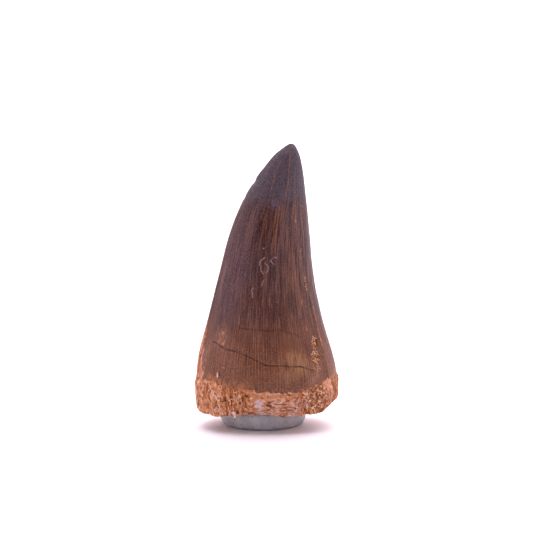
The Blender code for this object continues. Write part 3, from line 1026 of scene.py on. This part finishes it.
# %% Veins, flake edges, crevices and pits
FLAKE_EDGES = (
    # long pale edges of upright flakes, as (height, degrees) from the top down
    ((7.2, -171.2), (5.8, -173.0), (4.8, -167.0), (4.0, -162.0)),
    ((8.1, -156.3), (7.1, -157.7), (6.2, -154.6), (5.1, -157.1), (3.8, -162.0)),
    ((7.9, -151.9), (6.7, -150.2), (5.6, -145.7), (4.9, -146.4), (4.1, -144.6), (3.5, -141.7)),
    ((6.7, -142.3), (5.9, -141.7), (5.3, -138.5), (4.5, -135.5), (3.4, -136.8)),
    ((7.1, -131.7), (5.9, -130.9), (5.0, -132.2), (4.1, -130.9), (2.9, -124.8)),
    ((4.9, -128.2), (4.1, -126.6), (3.2, -123.1), (2.4, -120.8)),
    ((6.4, -121.7), (5.7, -119.4), (4.8, -120.8), (4.0, -118.5)),
    ((7.1, -106.8), (6.4, -101.4), (5.4, -100.2), (4.8, -103.4), (4.0, -107.6)),
    ((6.7, -113.6), (5.5, -111.0), (4.6, -112.7), (3.5, -110.1)),
    ((6.7, -56.1), (5.9, -56.9), (5.3, -55.2), (4.0, -54.2), (3.1, -52.2)),
    ((4.9, -62.2), (3.9, -59.4), (3.1, -61.3)),
    ((7.6, 172.0), (6.0, 169.0), (4.2, 173.0)),
    ((7.4, 155.0), (5.6, 158.0), (3.8, 153.0)),
)
LEDGE_SIZE = 1.05
SMALL_LEDGE_SIZE = 0.62
VEIN_WIDTH = 0.075
SMALL_VEIN_WIDTH = 0.06

# A vein is highest where its noise changes sign, and it comes and goes along its way.
ledge_at = noise_over(bent, LEDGE_SIZE, 27.0)
small_ledge_at = noise_over(bent, SMALL_LEDGE_SIZE, 28.0)
small_vein = 0.85 * (1 - np.abs(small_ledge_at) / SMALL_VEIN_WIDTH)
vein = np.maximum(1 - np.abs(ledge_at) / VEIN_WIDTH, small_vein).clip(0, 1)
vein = vein * smooth_step(-0.14, 0.10, rocky(0.9, 46.0)) * (1 - 0.6 * matrix.between(15, 165, 12))
# The edges of upright plates are pale where they face out, and crevices where they face in.
plate_side = rocky(0.9, 61.0)
plate_line = upright_share * (1 - smooth_step(0.02, 0.09, chunk_gap + 0.03 * ragged))
vein = np.maximum(vein, 0.7 * plate_line * smooth_step(0.0, 0.14, plate_side))
# The placed edges wander by a few degrees and break off here and there.
edge_bend = 5.0 * rocky(0.7, 47.0) + 2.5 * rocky(0.3, 47.5)
edge_gap = np.minimum.reduce([matrix.seam_gap(path, edge_bend) for path in FLAKE_EDGES])
flake_edge = (1 - smooth_step(0.02, 0.16, edge_gap)) * smooth_step(-0.22, 0.05, rocky(0.5, 48.0))
vein = np.maximum(vein, 0.85 * flake_edge)
# Crevices follow some plates, ledges and placed edges: each a painted shadow line beside its edge, also cut
# in a little. Pits are the peaks of one more noise.
crevice = 0.8 * plate_line * smooth_step(-0.08, -0.18, plate_side)
crevice = crevice + 1.2 * groove(ledge_at + 0.13, 0.045) * smooth_step(0.0, 0.2, rocky(1.6, 30.0))
crevice = crevice + 0.7 * groove(edge_gap - 0.3, 0.08) * smooth_step(0.0, 0.2, rocky(1.1, 49.0))
pit = np.maximum(smooth_step(0.40, 0.46, noise_over(bent, 0.55, 29.0)), crevice) * (1 - vein)
print("share of the band under veins:", round(float(vein.mean()), 2))

# %% Granular, flat and smooth places
# The flat break at the back: its lower edge as (degrees round, height in mm), and its side vein.
FACET_FLOOR = ((-41, 7.9), (-31, 6.4), (-26, 8.2))
FACET_VEIN_AT = -26.3
FACET_VEIN_WIDTH = 0.17
# Patches: degrees round, height, half width and half height in mm.
GRANULAR_PATCH = (-43, 5.4, 2.8, 2.7)
FLAT_FACE = (-153, 3.7, 1.2, 1.1)
SLOTS = ((1.0, -144.5, 4.1, 0.2, 0.5, 0.6, 1.1), (1.0, -114.5, 3.4, 0.28, 0.45, 0.6, 1.1))

granular = matrix.patch(*GRANULAR_PATCH, 0.6, 1.1) * (1 - matrix.between(-31, 20, 3))
granular = np.clip(granular + 0.12 + 0.4 * matrix.between(30, 150, 20), 0, 1)
facet_floor = np.interp(matrix.degrees, *np.array(FACET_FLOOR).T)
facet = smooth_step(-0.1, 0.15, matrix.height - facet_floor) * matrix.between(-41, -26, 1.5)
beside_facet = np.radians(matrix.turn_from(FACET_VEIN_AT)) * matrix.half_width
facet_vein = 1.8 * groove(beside_facet + ragged * 0.3, FACET_VEIN_WIDTH)
facet_vein = facet_vein * smooth_step(4.6, 5.2, matrix.height) * smooth_step(8.6, 8.1, matrix.height)
flat_face = matrix.patch(*FLAT_FACE, 0.75, 0.95)
flat_outline = matrix.patch(*FLAT_FACE, 1.0, 1.2) - flat_face
slot = total(matrix.patch, SLOTS)
orange_strip = matrix.between(-104, -62, 3) * smooth_step(5.75, 6.05, matrix.height)
smooth_places = np.clip(flat_face + 0.8 * matrix.between(-37, -8, 3) + 0.8 * orange_strip, 0, 1)
print("share of the band that is granular:", round(float(granular.mean()), 2))

# %% Relief of the rock
BAND_STEP = 0.20
BAND_LUMP = (0.42, 2.3, 1.7)
# Spans where the lumps are lower: how much, from and to which degrees round, degrees of fade.
CALM_SPANS = ((-0.65, -208, -156, 10), (-0.65, -32, 20, 8), (-0.4, 25, 145, 8))
# The rock thins out between these heights over its edge in mm, and ends under the enamel.
EDGE_FALL = (-0.75, 0.70)
FRONT_FALLS_EARLIER = 1.4
EDGE_UNDER = 0.30
fine_parts = (
    # height in mm, and the part that stands out or is cut in by it
    (0.12, smooth_step(-0.05, 0.05, ledge_at)), (0.07, smooth_step(-0.04, 0.04, small_ledge_at)),
    (0.07, flake_edge), (0.03, (1 + upright_share) * chunk_tone),
    (0.05, (1 + 0.8 * upright_share) * chunk_slope), (0.03, flake_slope), (-0.12, 1 + pit),
)

rock_fine = sum(height * part for height, part in fine_parts)
rock_fine = rock_fine * (1 - 0.7 * np.maximum(granular, smooth_places))
rock_fine = rock_fine + 0.12 * granular * (0.45 - from_grain**2 * 1.6) - 0.2 * slot
rock_fine = rock_fine + 0.04 * rocky(0.22, 33.0)
calm = 1 + total(matrix.between, CALM_SPANS)
rock = BAND_STEP + calm * lumps(matrix.smooth, *BAND_LUMP) + rock_fine
# At the back edge the band bulges below and draws in above.
bulge = 0.15 * smooth_step(-0.8, -2.2, above) - 0.16 * smooth_step(-1.6, -0.2, above)
rock = rock + matrix.between(-26, 30, 12) * bulge
edge_low = EDGE_FALL[0] - FRONT_FALLS_EARLIER * matrix.between(-208, -156, 10)
falling = smooth_step(edge_low, EDGE_FALL[1], above + 0.25 * rocky(0.5, 34.0))
rock = rock * (1 - falling) - EDGE_UNDER * falling
print("matrix relief in mm:", round(float(rock.min()), 3), "to", round(float(rock.max()), 3))

# %% Broken rim
RIM_RADIUS = 11
RIM_REACH = 1.3
# Raggedness of the rim, as height and size in mm.
RIM_RAG = ((0.28, 1.5), (0.16, 0.5))
RIM_RISES = (
    # degrees round, how far the rim rises in mm, half width in degrees
    (-104.0, 0.55, 12.0), (-86.0, 0.20, 10.0),
)
# A white chip that hangs from the rim.
CHIP_AT = -118.0
CHIP_HANGS = 0.30
CHIP_WIDTH = 0.5

degrees_round = np.degrees(matrix_angles)
rim_way = REFERENCE_RADIUS * circle(matrix_angles)
rim_lift = sum(amount * noise_over(rim_way, size, 36.0) for amount, size in RIM_RAG)
from_chip = np.radians(degrees_round - CHIP_AT) * RIM_RADIUS
rim_lift = rim_lift - CHIP_HANGS * groove(from_chip, CHIP_WIDTH)
for degree, rise, half_width in RIM_RISES:
    rim_lift = rim_lift + rise * groove(degrees_round - degree, half_width)
side = matrix.smooth + matrix.outward * rock[..., None]
side[..., 2] += (1 - smooth_step(0.0, RIM_REACH, matrix.height - rim)) * rim_lift
side, pushed = broken_off(side, 0.9 * rock_fine)
print("most that a chip takes off the band in mm:", round(float(pushed.max()), 2))

# %% Underside and mesh
UNDERSIDE = (
    # share of the way out, height in mm
    (0.0, 4.35), (0.58, 4.25), (0.76, 3.5), (0.9, 2.85), (1.0, 3.1),
)
UNDERSIDE_LUMP = (0.3, 2.3, 3.3)
UNDERSIDE_ROWS = 16
UNDERSIDE_FIRST = 0.04
# The skin's upper edge is tucked in under the enamel: how far in and how far up, in mm.
TUCKS = ((0.6, 0.0), (2.0, -0.3))

under_share = UNDERSIDE_FIRST + (1 - UNDERSIDE_FIRST) * np.arange(UNDERSIDE_ROWS) / UNDERSIDE_ROWS
under_share = under_share[:, None]
under = matrix.smooth[0][None] * under_share[..., None]
under[..., 2] = np.interp(under_share, *np.array(UNDERSIDE).T)
under[..., 2] += under_share * (lumps(under, *UNDERSIDE_LUMP) + 0.12 * noise_over(under, 0.6, 41.0))
tilt = BREAK_TILT * np.cos(matrix_angles - BREAK_LOW_SIDE)
under[..., 2] += smooth_step(0.6, 1.0, under_share) * rim_lift - under_share * tilt
under = broken_off(under)[0]
tucks = [side[-1] - matrix.outward[-1] * inwards + (0, 0, lift) for inwards, lift in TUCKS]
matrix_surface = np.concatenate([under, side, tucks])
under_middle, top_middle = (matrix_surface[row].mean(axis=0) for row in (0, -1))
matrix_mesh, keep = wrapped("clinging_matrix", matrix_surface, under_middle, top_middle)

# %% Notes for the matrix's material
# Thin white lines: from and to which degrees round, fade, mm under the edge, width in mm.
WHITE_LINES = ((-101, -66, 3, 0.35, 0.16), (-41, -13, 2, 0.15, 0.14))
# Patches: weight, degrees round, height, half width and half height in mm, where it fades.
WHITE_PATCHES = (
    (0.5, 120, 5.0, 3.0, 1.6), (1.9, -55.0, 4.6, 0.26, 0.9), (1.4, -55.8, 6.3, 0.22, 0.6),
)
WHITE_CHIP = (-97.1, 4.6, 0.62, 1.1, 0.7, 1.1)
HANGING_PATCH = (CHIP_AT, 2.9, 0.42, 0.75, 0.8, 1.1)
PALE_PATCHES = (
    (0.6, -168, 7.0, 2.2, 3.0), (0.4, -118, 4.4, 2.2, 1.6, 0.2, 1.2),
    (0.45, -70, 5.0, 1.2, 1.3, 0.2, 1.2),
)
# What a note is on the underside and the tucked edge, where it isn't 0.
HIDDEN = {"white": 0.1, "granular": 0.4, "grain_gap": 0.5, "tongue_side_painted_shade": 0.5}

islands = smooth_step(0.02, 0.16, noise_over(matrix.grown * (1, 1, 1.5), 0.55, 44.0))
white = matrix.between(-98, -61, 2.0) * smooth_step(6.0, 5.6, matrix.height + 0.3 * ragged)
white = white * (1 - islands * smooth_step(-95, -90, matrix.degrees))
white = white * smooth_step(2.4, 3.0, matrix.height)
for start, end, fade, under_edge, line_width in WHITE_LINES:
    white = white + matrix.between(start, end, fade) * groove(above + under_edge, line_width)
hanging = matrix.patch(*HANGING_PATCH)
white = white + 1.5 * matrix.patch(*WHITE_CHIP) * (1 - 0.5 * islands) + 3.0 * hanging
white = white + total(matrix.patch, WHITE_PATCHES) + facet_vein
# In the material, pits, crevices and slots are darkened with painted shade, and so is the tongue side.
matrix_notes = {
    "white": white, "pale": total(matrix.patch, PALE_PATCHES) + facet + 0.8 * flat_outline,
    "vein": vein, "pit": np.clip(pit * (1 - hanging) + slot, 0, 1), "chunk_tone": chunk_tone,
    "grain_gap": grain_gap, "grain_tone": grain_tone, "granular": granular, "plain": smooth_places,
    "rock_fine": rock_fine, "warm": orange_strip, "brown": matrix.between(-24, 24, 4),
    "tongue_side_painted_shade": matrix.between(15, 165, 25),
}
for note, values in matrix_notes.items():
    hidden_row = np.full((1, MATRIX_COLUMNS), HIDDEN.get(note, 0.0))
    below, beyond = (hidden_row.repeat(rows, axis=0) for rows in (UNDERSIDE_ROWS, len(TUCKS)))
    keep(note, np.concatenate([below, values, beyond]))
keep("growth", np.concatenate([under, matrix.grown, np.array(tucks)]))
print("notes kept on the matrix:", len(matrix_notes) + 1)

# %% [markdown]
# ## Material: sandy matrix
#
# Iron stains the rock orange, but unevenly: each chunk has its own tone and the veins between them
# are pale. The hollows, pits, crevices and gaps between grains are darkened with painted shade, and
# so is the tongue side. A lavender-white patch of finer rock lies in the middle. The surface is dull
# and grainy, so its roughness is high.

# %% Sandy matrix
matrix_material, tree, shader = new_material("sandy_matrix")
growth = noted(tree, "growth", "Vector")
sand = grain(tree, growth, 5.0, 3.0)
mottle = grain(tree, growth, 1.3, 4.0)
white_at = noted(tree, "white")
granular_at = noted(tree, "granular")
layers = grain(tree, growth, 1.3, 4.0, (1, 1, 3.4))
rough_at = ramped(noted(tree, "plain"), 0.0, 1.0, 1.0, 0.4)
vein_at = ramped(noted(tree, "vein"), 0.1, 0.6)
vein_shows = ramped(white_at, 0.0, 0.8, 0.9, 0.35)
rock_colour = layered(linear("#ca8860"), [
    # chunks in different tones, and rust
    ("#9a603a", times(ramped(noted(tree, "chunk_tone"), 0.1, -0.8), 0.35)),
    ("#c68c66", times(ramped(noted(tree, "chunk_tone"), 0.1, 0.8), 0.35)),
    ("#a0633e", times(ramped(mottle, 0.5, 0.36), 0.6)),
    ("#8a5535", times(granular_at, 0.6)),
    # the orange strip, the brown back edge, pale and white rock
    ("#b5793f", times(noted(tree, "warm"), ramped(sand, 0.35, 0.60), 0.6)),
    ("#84502f", times(noted(tree, "brown"), ramped(sand, 0.62, 0.40, 0.3, 0.9))),
    ("#d79974", times(noted(tree, "pale"), ramped(sand, 0.36, 0.50, 0.35, 0.9))),
    ("#ceaea8", times(white_at, ramped(layers, 0.44, 0.50), 0.85)),
    ("#ccb7b6", ramped(white_at, 1.3, 2.0)),
    ("#e3d2d4", ramped(white_at, 2.6, 3.0)),
    # painted shade in the hollows, pale veins, painted shade in pits and crevices, painted shade between
    # grains, and pale grains
    ("#8a522c", times(ramped(noted(tree, "rock_fine"), -0.04, -0.14), rough_at, 0.65)),
    ("#e6bca3", times(vein_at, ramped(mottle, 0.30, 0.42), rough_at, vein_shows)),
    ("#663a20", times(noted(tree, "pit"), 0.75)),
    ("#5a3622", times(granular_at, ramped(noted(tree, "grain_gap"), 0.20, 0.06), 0.8)),
    ("#eac3a4", times(granular_at, ramped(noted(tree, "grain_tone"), 0.35, 0.8), 0.8)),
    # single sand grains, and painted shade on the tongue side
    ("#8a5230", ramped(sand, 0.42, 0.30, 0.0, 0.5)),
    ("#ecc9b2", ramped(sand, 0.62, 0.74, 0.0, 0.5)),
    ("#7c4a2a", times(noted(tree, "tongue_side_painted_shade"), ramped(mottle, 0.62, 0.38, 0.4, 0.85))),
])
# The bump is the sand itself, whose grains are too small for the mesh.
sand_bump = add(tree, "ShaderNodeBump", {"Height": sand, "Distance": 0.05 * MM, "Strength": 0.8})
feed(shader, {"Base Color": rock_colour, "Normal": sand_bump})
feed(shader, {"Roughness": 0.85, "Specular IOR Level": 0.35})
matrix_piece = finish_piece(matrix_mesh, matrix_material, ["tooth"])

# %% [markdown]
# ## Crumbs of matrix
#
# Loose-looking grains of the rock are still stuck in the gouge beside the back carina, along the
# carina's worn edge, on the band and on the enamel just above it. A short row of pale ones is low
# on the left. Noise alone would only swell the surface, so each crumb is a small sphere of its
# own, dented at random, half sunk in the tooth. All are joined in one mesh.

# %% Groups of crumbs
CRUMB_GROUPS = (
    # skin, count, path of (degrees, height), spread across and up in mm, radii, tones from 0,
    # which is dark, to 1, which is pale
    ("crown", 26, ((-36.5, 15.0), (-39.5, 14.9), (-42.0, 13.9)), 0.5, 0.4, (0.06, 0.15), (0.3, 1.0)),
    ("crown", 16, ((-42.0, 13.9), (-39.5, 13.3)), 0.8, 0.5, (0.05, 0.10), (0.0, 0.8)),
    ("crown", 44, ((-40.5, 12.9), (-44.5, 12.3)), 0.9, 0.5, (0.05, 0.17), (0.3, 1.0)),
    ("crown", 44, ((-43.5, 11.8), (-41.0, 11.2)), 0.9, 0.6, (0.05, 0.17), (0.2, 1.0)),
    ("crown", 22, ((-43.0, 10.7), (-41.5, 10.1)), 0.9, 0.5, (0.05, 0.12), (0.1, 0.9)),
    ("crown", 30, ((-43, 10.4), (-47, 8.8)), 1.5, 0.8, (0.04, 0.08), (0.1, 0.8)),
    ("crown", 30, ((-36.2, 24.6), (-37.4, 23.8), (-36.4, 22.4)), 0.35, 0.35, (0.04, 0.10), (0.2, 1.0)),
    ("crown", 16, ((-40.5, 28.8), (-41.5, 27.2)), 0.25, 0.3, (0.03, 0.07), (0.2, 0.9)),
    ("crown", 9, ((-78.0, 21.0), (-78.5, 19.6)), 0.5, 0.3, (0.03, 0.06), (0.1, 0.6)),
    ("crown", 24, ((-29, 22.0), (-28.6, 18.0), (-28.6, 14.0)), 0.15, 0.8, (0.04, 0.09), (0.3, 0.7)),
    ("matrix", 90, ((-150, 6.0), (-90, 5.0), (-40, 6.0)), 5.0, 1.4, (0.05, 0.13), (0.0, 0.9)),
    ("matrix", 70, ((-52, 6.2), (-42, 5.2)), 1.5, 1.6, (0.04, 0.11), (0.0, 0.9)),
    ("matrix", 260, ((20, 6.4), (90, 5.2), (160, 6.4)), 6.0, 2.2, (0.05, 0.15), (0.0, 0.7)),
    ("crown", 70, ((-146, 8.4), (-134, 8.1), (-120, 7.6), (-106, 7.7)), 3.0, 0.6, (0.04, 0.10), (0.0, 0.5)),
    ("crown", 12, ((-134.3, 9.5), (-133.7, 8.9)), 0.03, 0.0, (0.13, 0.17), (0.9, 1.0)),
    ("crown", 2, ((-127.5, 10.4), (-127.4, 10.5)), 0.1, 0.1, (0.07, 0.11), (0.5, 0.8)),
)
print("groups of crumbs:", len(CRUMB_GROUPS))

# %% Points on a finished surface
surfaces = {"crown": (crown, crown_surface), "matrix": (matrix, side)}


def surface_at(skin_name, degree, at_height):
    """The point of a finished surface at an angle and a height in mm, and the way out there."""
    skin, points = surfaces[skin_name]
    columns = points.shape[1]
    column = (degree + 180) / 360 * columns
    first = int(math.floor(column)) % columns
    share = column - math.floor(column)
    point, way = np.zeros(3), np.zeros(3)
    for index, weight in ((first, 1 - share), ((first + 1) % columns, share)):
        levels = skin.height[:, index]
        for axis in range(3):
            point[axis] += weight * np.interp(at_height, levels, points[:, index, axis])
            way[axis] += weight * np.interp(at_height, levels, skin.outward[:, index, axis])
    return Vector(point), Vector(way).normalized()


print("middle of the lip side, 20 mm up:", surface_at("crown", -90, 20)[0])

# %% Making the crumbs
# How deep a crumb's middle lies and how strongly it is dented, as shares of its radius, and the
# size of the dents in mm.
CRUMB_SINK = 0.35
DENT_SHARE = 0.5
DENT_SIZE = 0.15
random = np.random.default_rng(7)

crumbs = bmesh.new()
tone_layer = crumbs.verts.layers.float.new("tone")
for skin_name, count, path, across, up, radii, tones in CRUMB_GROUPS:
    turns, levels = np.array(path, float).T
    for _ in range(count):
        at = random.uniform(0, len(path) - 1)
        level = float(np.interp(at, range(len(path)), levels)) + random.normal(0, up / 2)
        turn = float(np.interp(at, range(len(path)), turns))
        turn += math.degrees(random.normal(0, across / 2) / REFERENCE_RADIUS)
        radius = random.uniform(*radii)
        tone = random.uniform(*tones)
        middle, way = surface_at(skin_name, turn, level)
        spin = Matrix.Rotation(random.uniform(0, math.tau), 4, "Z") @ Matrix.Rotation(
            random.uniform(0, math.tau), 4, "X"
        )
        squash = Matrix.Diagonal((1.0, random.uniform(0.6, 1.0), random.uniform(0.5, 0.9), 1.0))
        middle = (middle - way * radius * CRUMB_SINK) * MM
        placed = Matrix.Translation(middle) @ spin @ squash
        made = bmesh.ops.create_icosphere(crumbs, subdivisions=2, radius=radius * MM, matrix=placed)
        for corner in made["verts"]:
            corner[tone_layer] = tone
            dent = DENT_SHARE * noise.noise(corner.co / MM / DENT_SIZE)
            corner.co += (corner.co - middle) * dent
crumb_mesh = bpy.data.meshes.new("matrix_crumbs")
crumbs.to_mesh(crumb_mesh)
crumbs.free()
print("crumbs:", sum(group[1] for group in CRUMB_GROUPS), "faces:", len(crumb_mesh.polygons))

# %% [markdown]
# ## Material: sandy crumbs
#
# The same dull phosphate sand as the matrix. Each crumb has one tone, from rusty brown to cream,
# with a finer grain over it.

# %% Crumb material
crumb_material, tree, shader = new_material("sandy_crumb")
tones = add(tree, "ShaderNodeValToRGB", {"Fac": noted(tree, "tone")})
tone_stops = tones.node.color_ramp.elements
tone_stops[0].color = linear("#8a5233")
tone_stops[1].color = linear("#e8c8ac")
tone_stops.new(0.5).color = linear("#b88763")
crumb_grain = grain(tree, object_place(tree), 6.0)
crumb_bump = add(tree, "ShaderNodeBump", {"Height": crumb_grain, "Distance": 0.05 * MM})
feed(shader, {"Base Color": tones, "Normal": crumb_bump})
feed(shader, {"Roughness": 0.9, "Specular IOR Level": 0.3})
finish_piece(crumb_mesh, crumb_material)

# %% [markdown]
# ## Pale threads on the enamel
#
# A few thin, pale squiggles of dried mineral lie on the middle of the lip side. A curve with a
# round bevel, sunk into the surface until only its top stands out, gives each a low, flat bead.

# %% Threads
THREADS = (
    # points as (degrees, height in mm)
    ((-94.0, 27.8), (-99.0, 27.3), (-99.7, 26.7), (-97.3, 26.4), (-98.2, 26.0), (-96.4, 25.6),
     (-94.0, 25.2)),
    ((-94.5, 27.0), (-90.0, 26.6), (-88.7, 26.1), (-89.8, 25.6), (-91.8, 25.5)),
    ((-78.4, 27.8), (-83.0, 27.8), (-85.8, 27.3), (-83.4, 26.9), (-80.8, 26.7)),
    ((-91.9, 24.5), (-94.2, 24.0), (-95.8, 23.4)),
    ((-105.0, 23.1), (-106.5, 22.6), (-105.5, 22.2), (-104.5, 21.5)),
    ((-98.5, 29.2), (-96.0, 29.3)),
    ((-145.0, 24.9), (-145.3, 24.8)),
    ((-162.0, 34.9), (-162.2, 34.8)),
)
THREAD_RADIUS = 0.13
THREAD_SINK = 0.025
KNOTS_PER_POINT = 8

thread_curve = bpy.data.curves.new("threads", "CURVE")
thread_curve.dimensions = "3D"
thread_curve.bevel_depth = THREAD_RADIUS * MM
thread_curve.bevel_resolution = 3
thread_curve.use_fill_caps = True
for points in THREADS:
    knots_at = np.linspace(0, len(points) - 1, KNOTS_PER_POINT * len(points))
    turns, levels = on_curve(np.array(points, float), knots_at).T
    spline = thread_curve.splines.new("POLY")
    spline.points.add(len(turns) - 1)
    for index, knot in enumerate(spline.points):
        where, way = surface_at("crown", turns[index], levels[index])
        knot.co = (*((where - way * THREAD_SINK) * MM), 1.0)
        share = index / (len(turns) - 1)
        knot.radius = 0.75 + 0.30 * math.sin(math.pi * share) + 0.4 * noise.noise(where * 2.5)
thread_object = bpy.data.objects.new("threads", thread_curve)
bpy.context.scene.collection.objects.link(thread_object)
bpy.context.view_layer.update()
thread_mesh = bpy.data.meshes.new_from_object(
    thread_object.evaluated_get(bpy.context.evaluated_depsgraph_get())
)
thread_mesh.name = "mineral_threads"
bpy.data.objects.remove(thread_object)
welded = bmesh.new()
welded.from_mesh(thread_mesh)
bmesh.ops.remove_doubles(welded, verts=welded.verts, dist=0.001 * MM)
welded.to_mesh(thread_mesh)
welded.free()
print("threads:", len(THREADS), "faces:", len(thread_mesh.polygons))

# %% Thread material
# Dried calcite or lime: a dull white film, so thin that the brown enamel shows through it.
thread_material, tree, shader = new_material("pale_mineral_thread")
thin_places = ramped(grain(tree, object_place(tree), 2.5), 0.35, 0.65)
thread_colour = layered(linear("#6b4b47"), [("#7d6b70", thin_places)])
feed(shader, {"Base Color": thread_colour, "Roughness": 0.6})
finish_piece(thread_mesh, thread_material)

# %% [markdown]
# ## The wad of putty
#
# Display putty is a soft rubbery dough. A ball of it is pressed flat under the tooth, so its side
# bulges, its foot is flat where it met the table, and its top has been pushed up into the hollow
# base. It is wrapped from a cylinder like the tooth. The hidden top is found by looking straight
# up from each point to the tooth's underside.

# %% Outline of the wad
WAD_HALF_WIDTH = 7.0
WAD_HALF_DEPTH = 6.3
WAD_OUTLINE = np.array((
    # height in mm, share of the half width
    (0.0, 0.86), (0.2, 0.925), (0.7, 0.965), (1.4, 0.99), (2.1, 1.0),
    (2.75, 0.965), (3.25, 0.88), (3.55, 0.74), (3.62, 0.5),
))
WAD_COLUMNS = 240
WAD_RINGS = 65
# The wad's lopsidedness: share of its width, lobes over its radius, and the seed.
WAD_WOBBLE = 0.035
WAD_LOBES = 1.3
WAD_SEED = 4.0

wad_angle = column_angles(WAD_COLUMNS)
along_outline = np.linspace(0, len(WAD_OUTLINE) - 1, WAD_RINGS)
profile = on_curve(WAD_OUTLINE, along_outline)
wobble = WAD_WOBBLE * noise_over(circle(wad_angle, WAD_SEED) * WAD_LOBES, 1.0)
reach = profile[:, 1, None] * (1 + wobble)
wad_levels = np.broadcast_to(profile[:, 0, None], reach.shape)
wad = np.stack([reach * np.cos(wad_angle), reach * np.sin(wad_angle), wad_levels], axis=-1)
wad[..., :2] *= (WAD_HALF_WIDTH, WAD_HALF_DEPTH)
print("the wad's outline is", round(float(profile[:, 0].max()), 2), "mm tall")

# %% Pressed sides, and a top that fills the hollow base
# Pressing fades out within this height over the foot. Each press has a depth, a size and a seed.
PRESS_FADE = 0.35
PRESSES = ((0.10, 2.6, 51.0), (0.04, 0.9, 52.0))
# The top rises to the tooth from this point of the outline on, and fully so many points later.
WAD_TOP_FROM = 5.0
WAD_TOP_BLEND = 1.2
# How far the top is pressed into the tooth, in mm.
WAD_OVERLAP = 0.04

off_foot = smooth_step(0.0, PRESS_FADE, wad[..., 2])
press = sum(depth * noise_over(wad, size, seed) for depth, size, seed in PRESSES)
wad[..., :2] *= 1 + (off_foot * press)[..., None] / WAD_HALF_WIDTH
underside_tree = BVHTree.FromObject(matrix_piece, bpy.context.evaluated_depsgraph_get())
for ring_index in np.flatnonzero(along_outline >= WAD_TOP_FROM):
    rise_top = WAD_TOP_FROM + WAD_TOP_BLEND
    blend = float(smooth_step(WAD_TOP_FROM, rise_top, along_outline[ring_index]))
    for column_index in range(WAD_COLUMNS):
        x, y, z = wad[ring_index, column_index]
        hit = underside_tree.ray_cast(Vector((x, y, 1.0)) * MM, Vector((0, 0, 1)))[0]
        if hit is not None:
            wad[ring_index, column_index, 2] = z + (hit.z / MM + WAD_OVERLAP - z) * blend
wad_mesh, keep = wrapped("pressed_putty", wad, (0, 0, 0), wad[-1].mean(axis=0))

# %% [markdown]
# ## Material: display putty
#
# Synthetic rubber filled with chalk: a mid grey, matte, with a faint mottling and tiny dark and
# pale specks of lint where fingers kneaded it.

# %% Putty material
putty_material, tree, shader = new_material("kneaded_display_putty")
place_in_mm = object_place(tree)
lint = grain(tree, place_in_mm, 2.6)
putty_colour = layered(linear("#a2a3a6"), [
    ("#b0b0b0", ramped(grain(tree, place_in_mm, 0.7, 3.0), 0.4, 0.6)),
    ("#666465", ramped(lint, 0.36, 0.28)),
    ("#c9c6c6", ramped(lint, 0.64, 0.74)),
])
putty_bump = add(tree, "ShaderNodeBump", {"Height": lint, "Distance": 0.03 * MM})
feed(shader, {"Base Color": putty_colour, "Normal": putty_bump, "Roughness": 0.75})
finish_piece(wad_mesh, putty_material, ["putty_wad"])
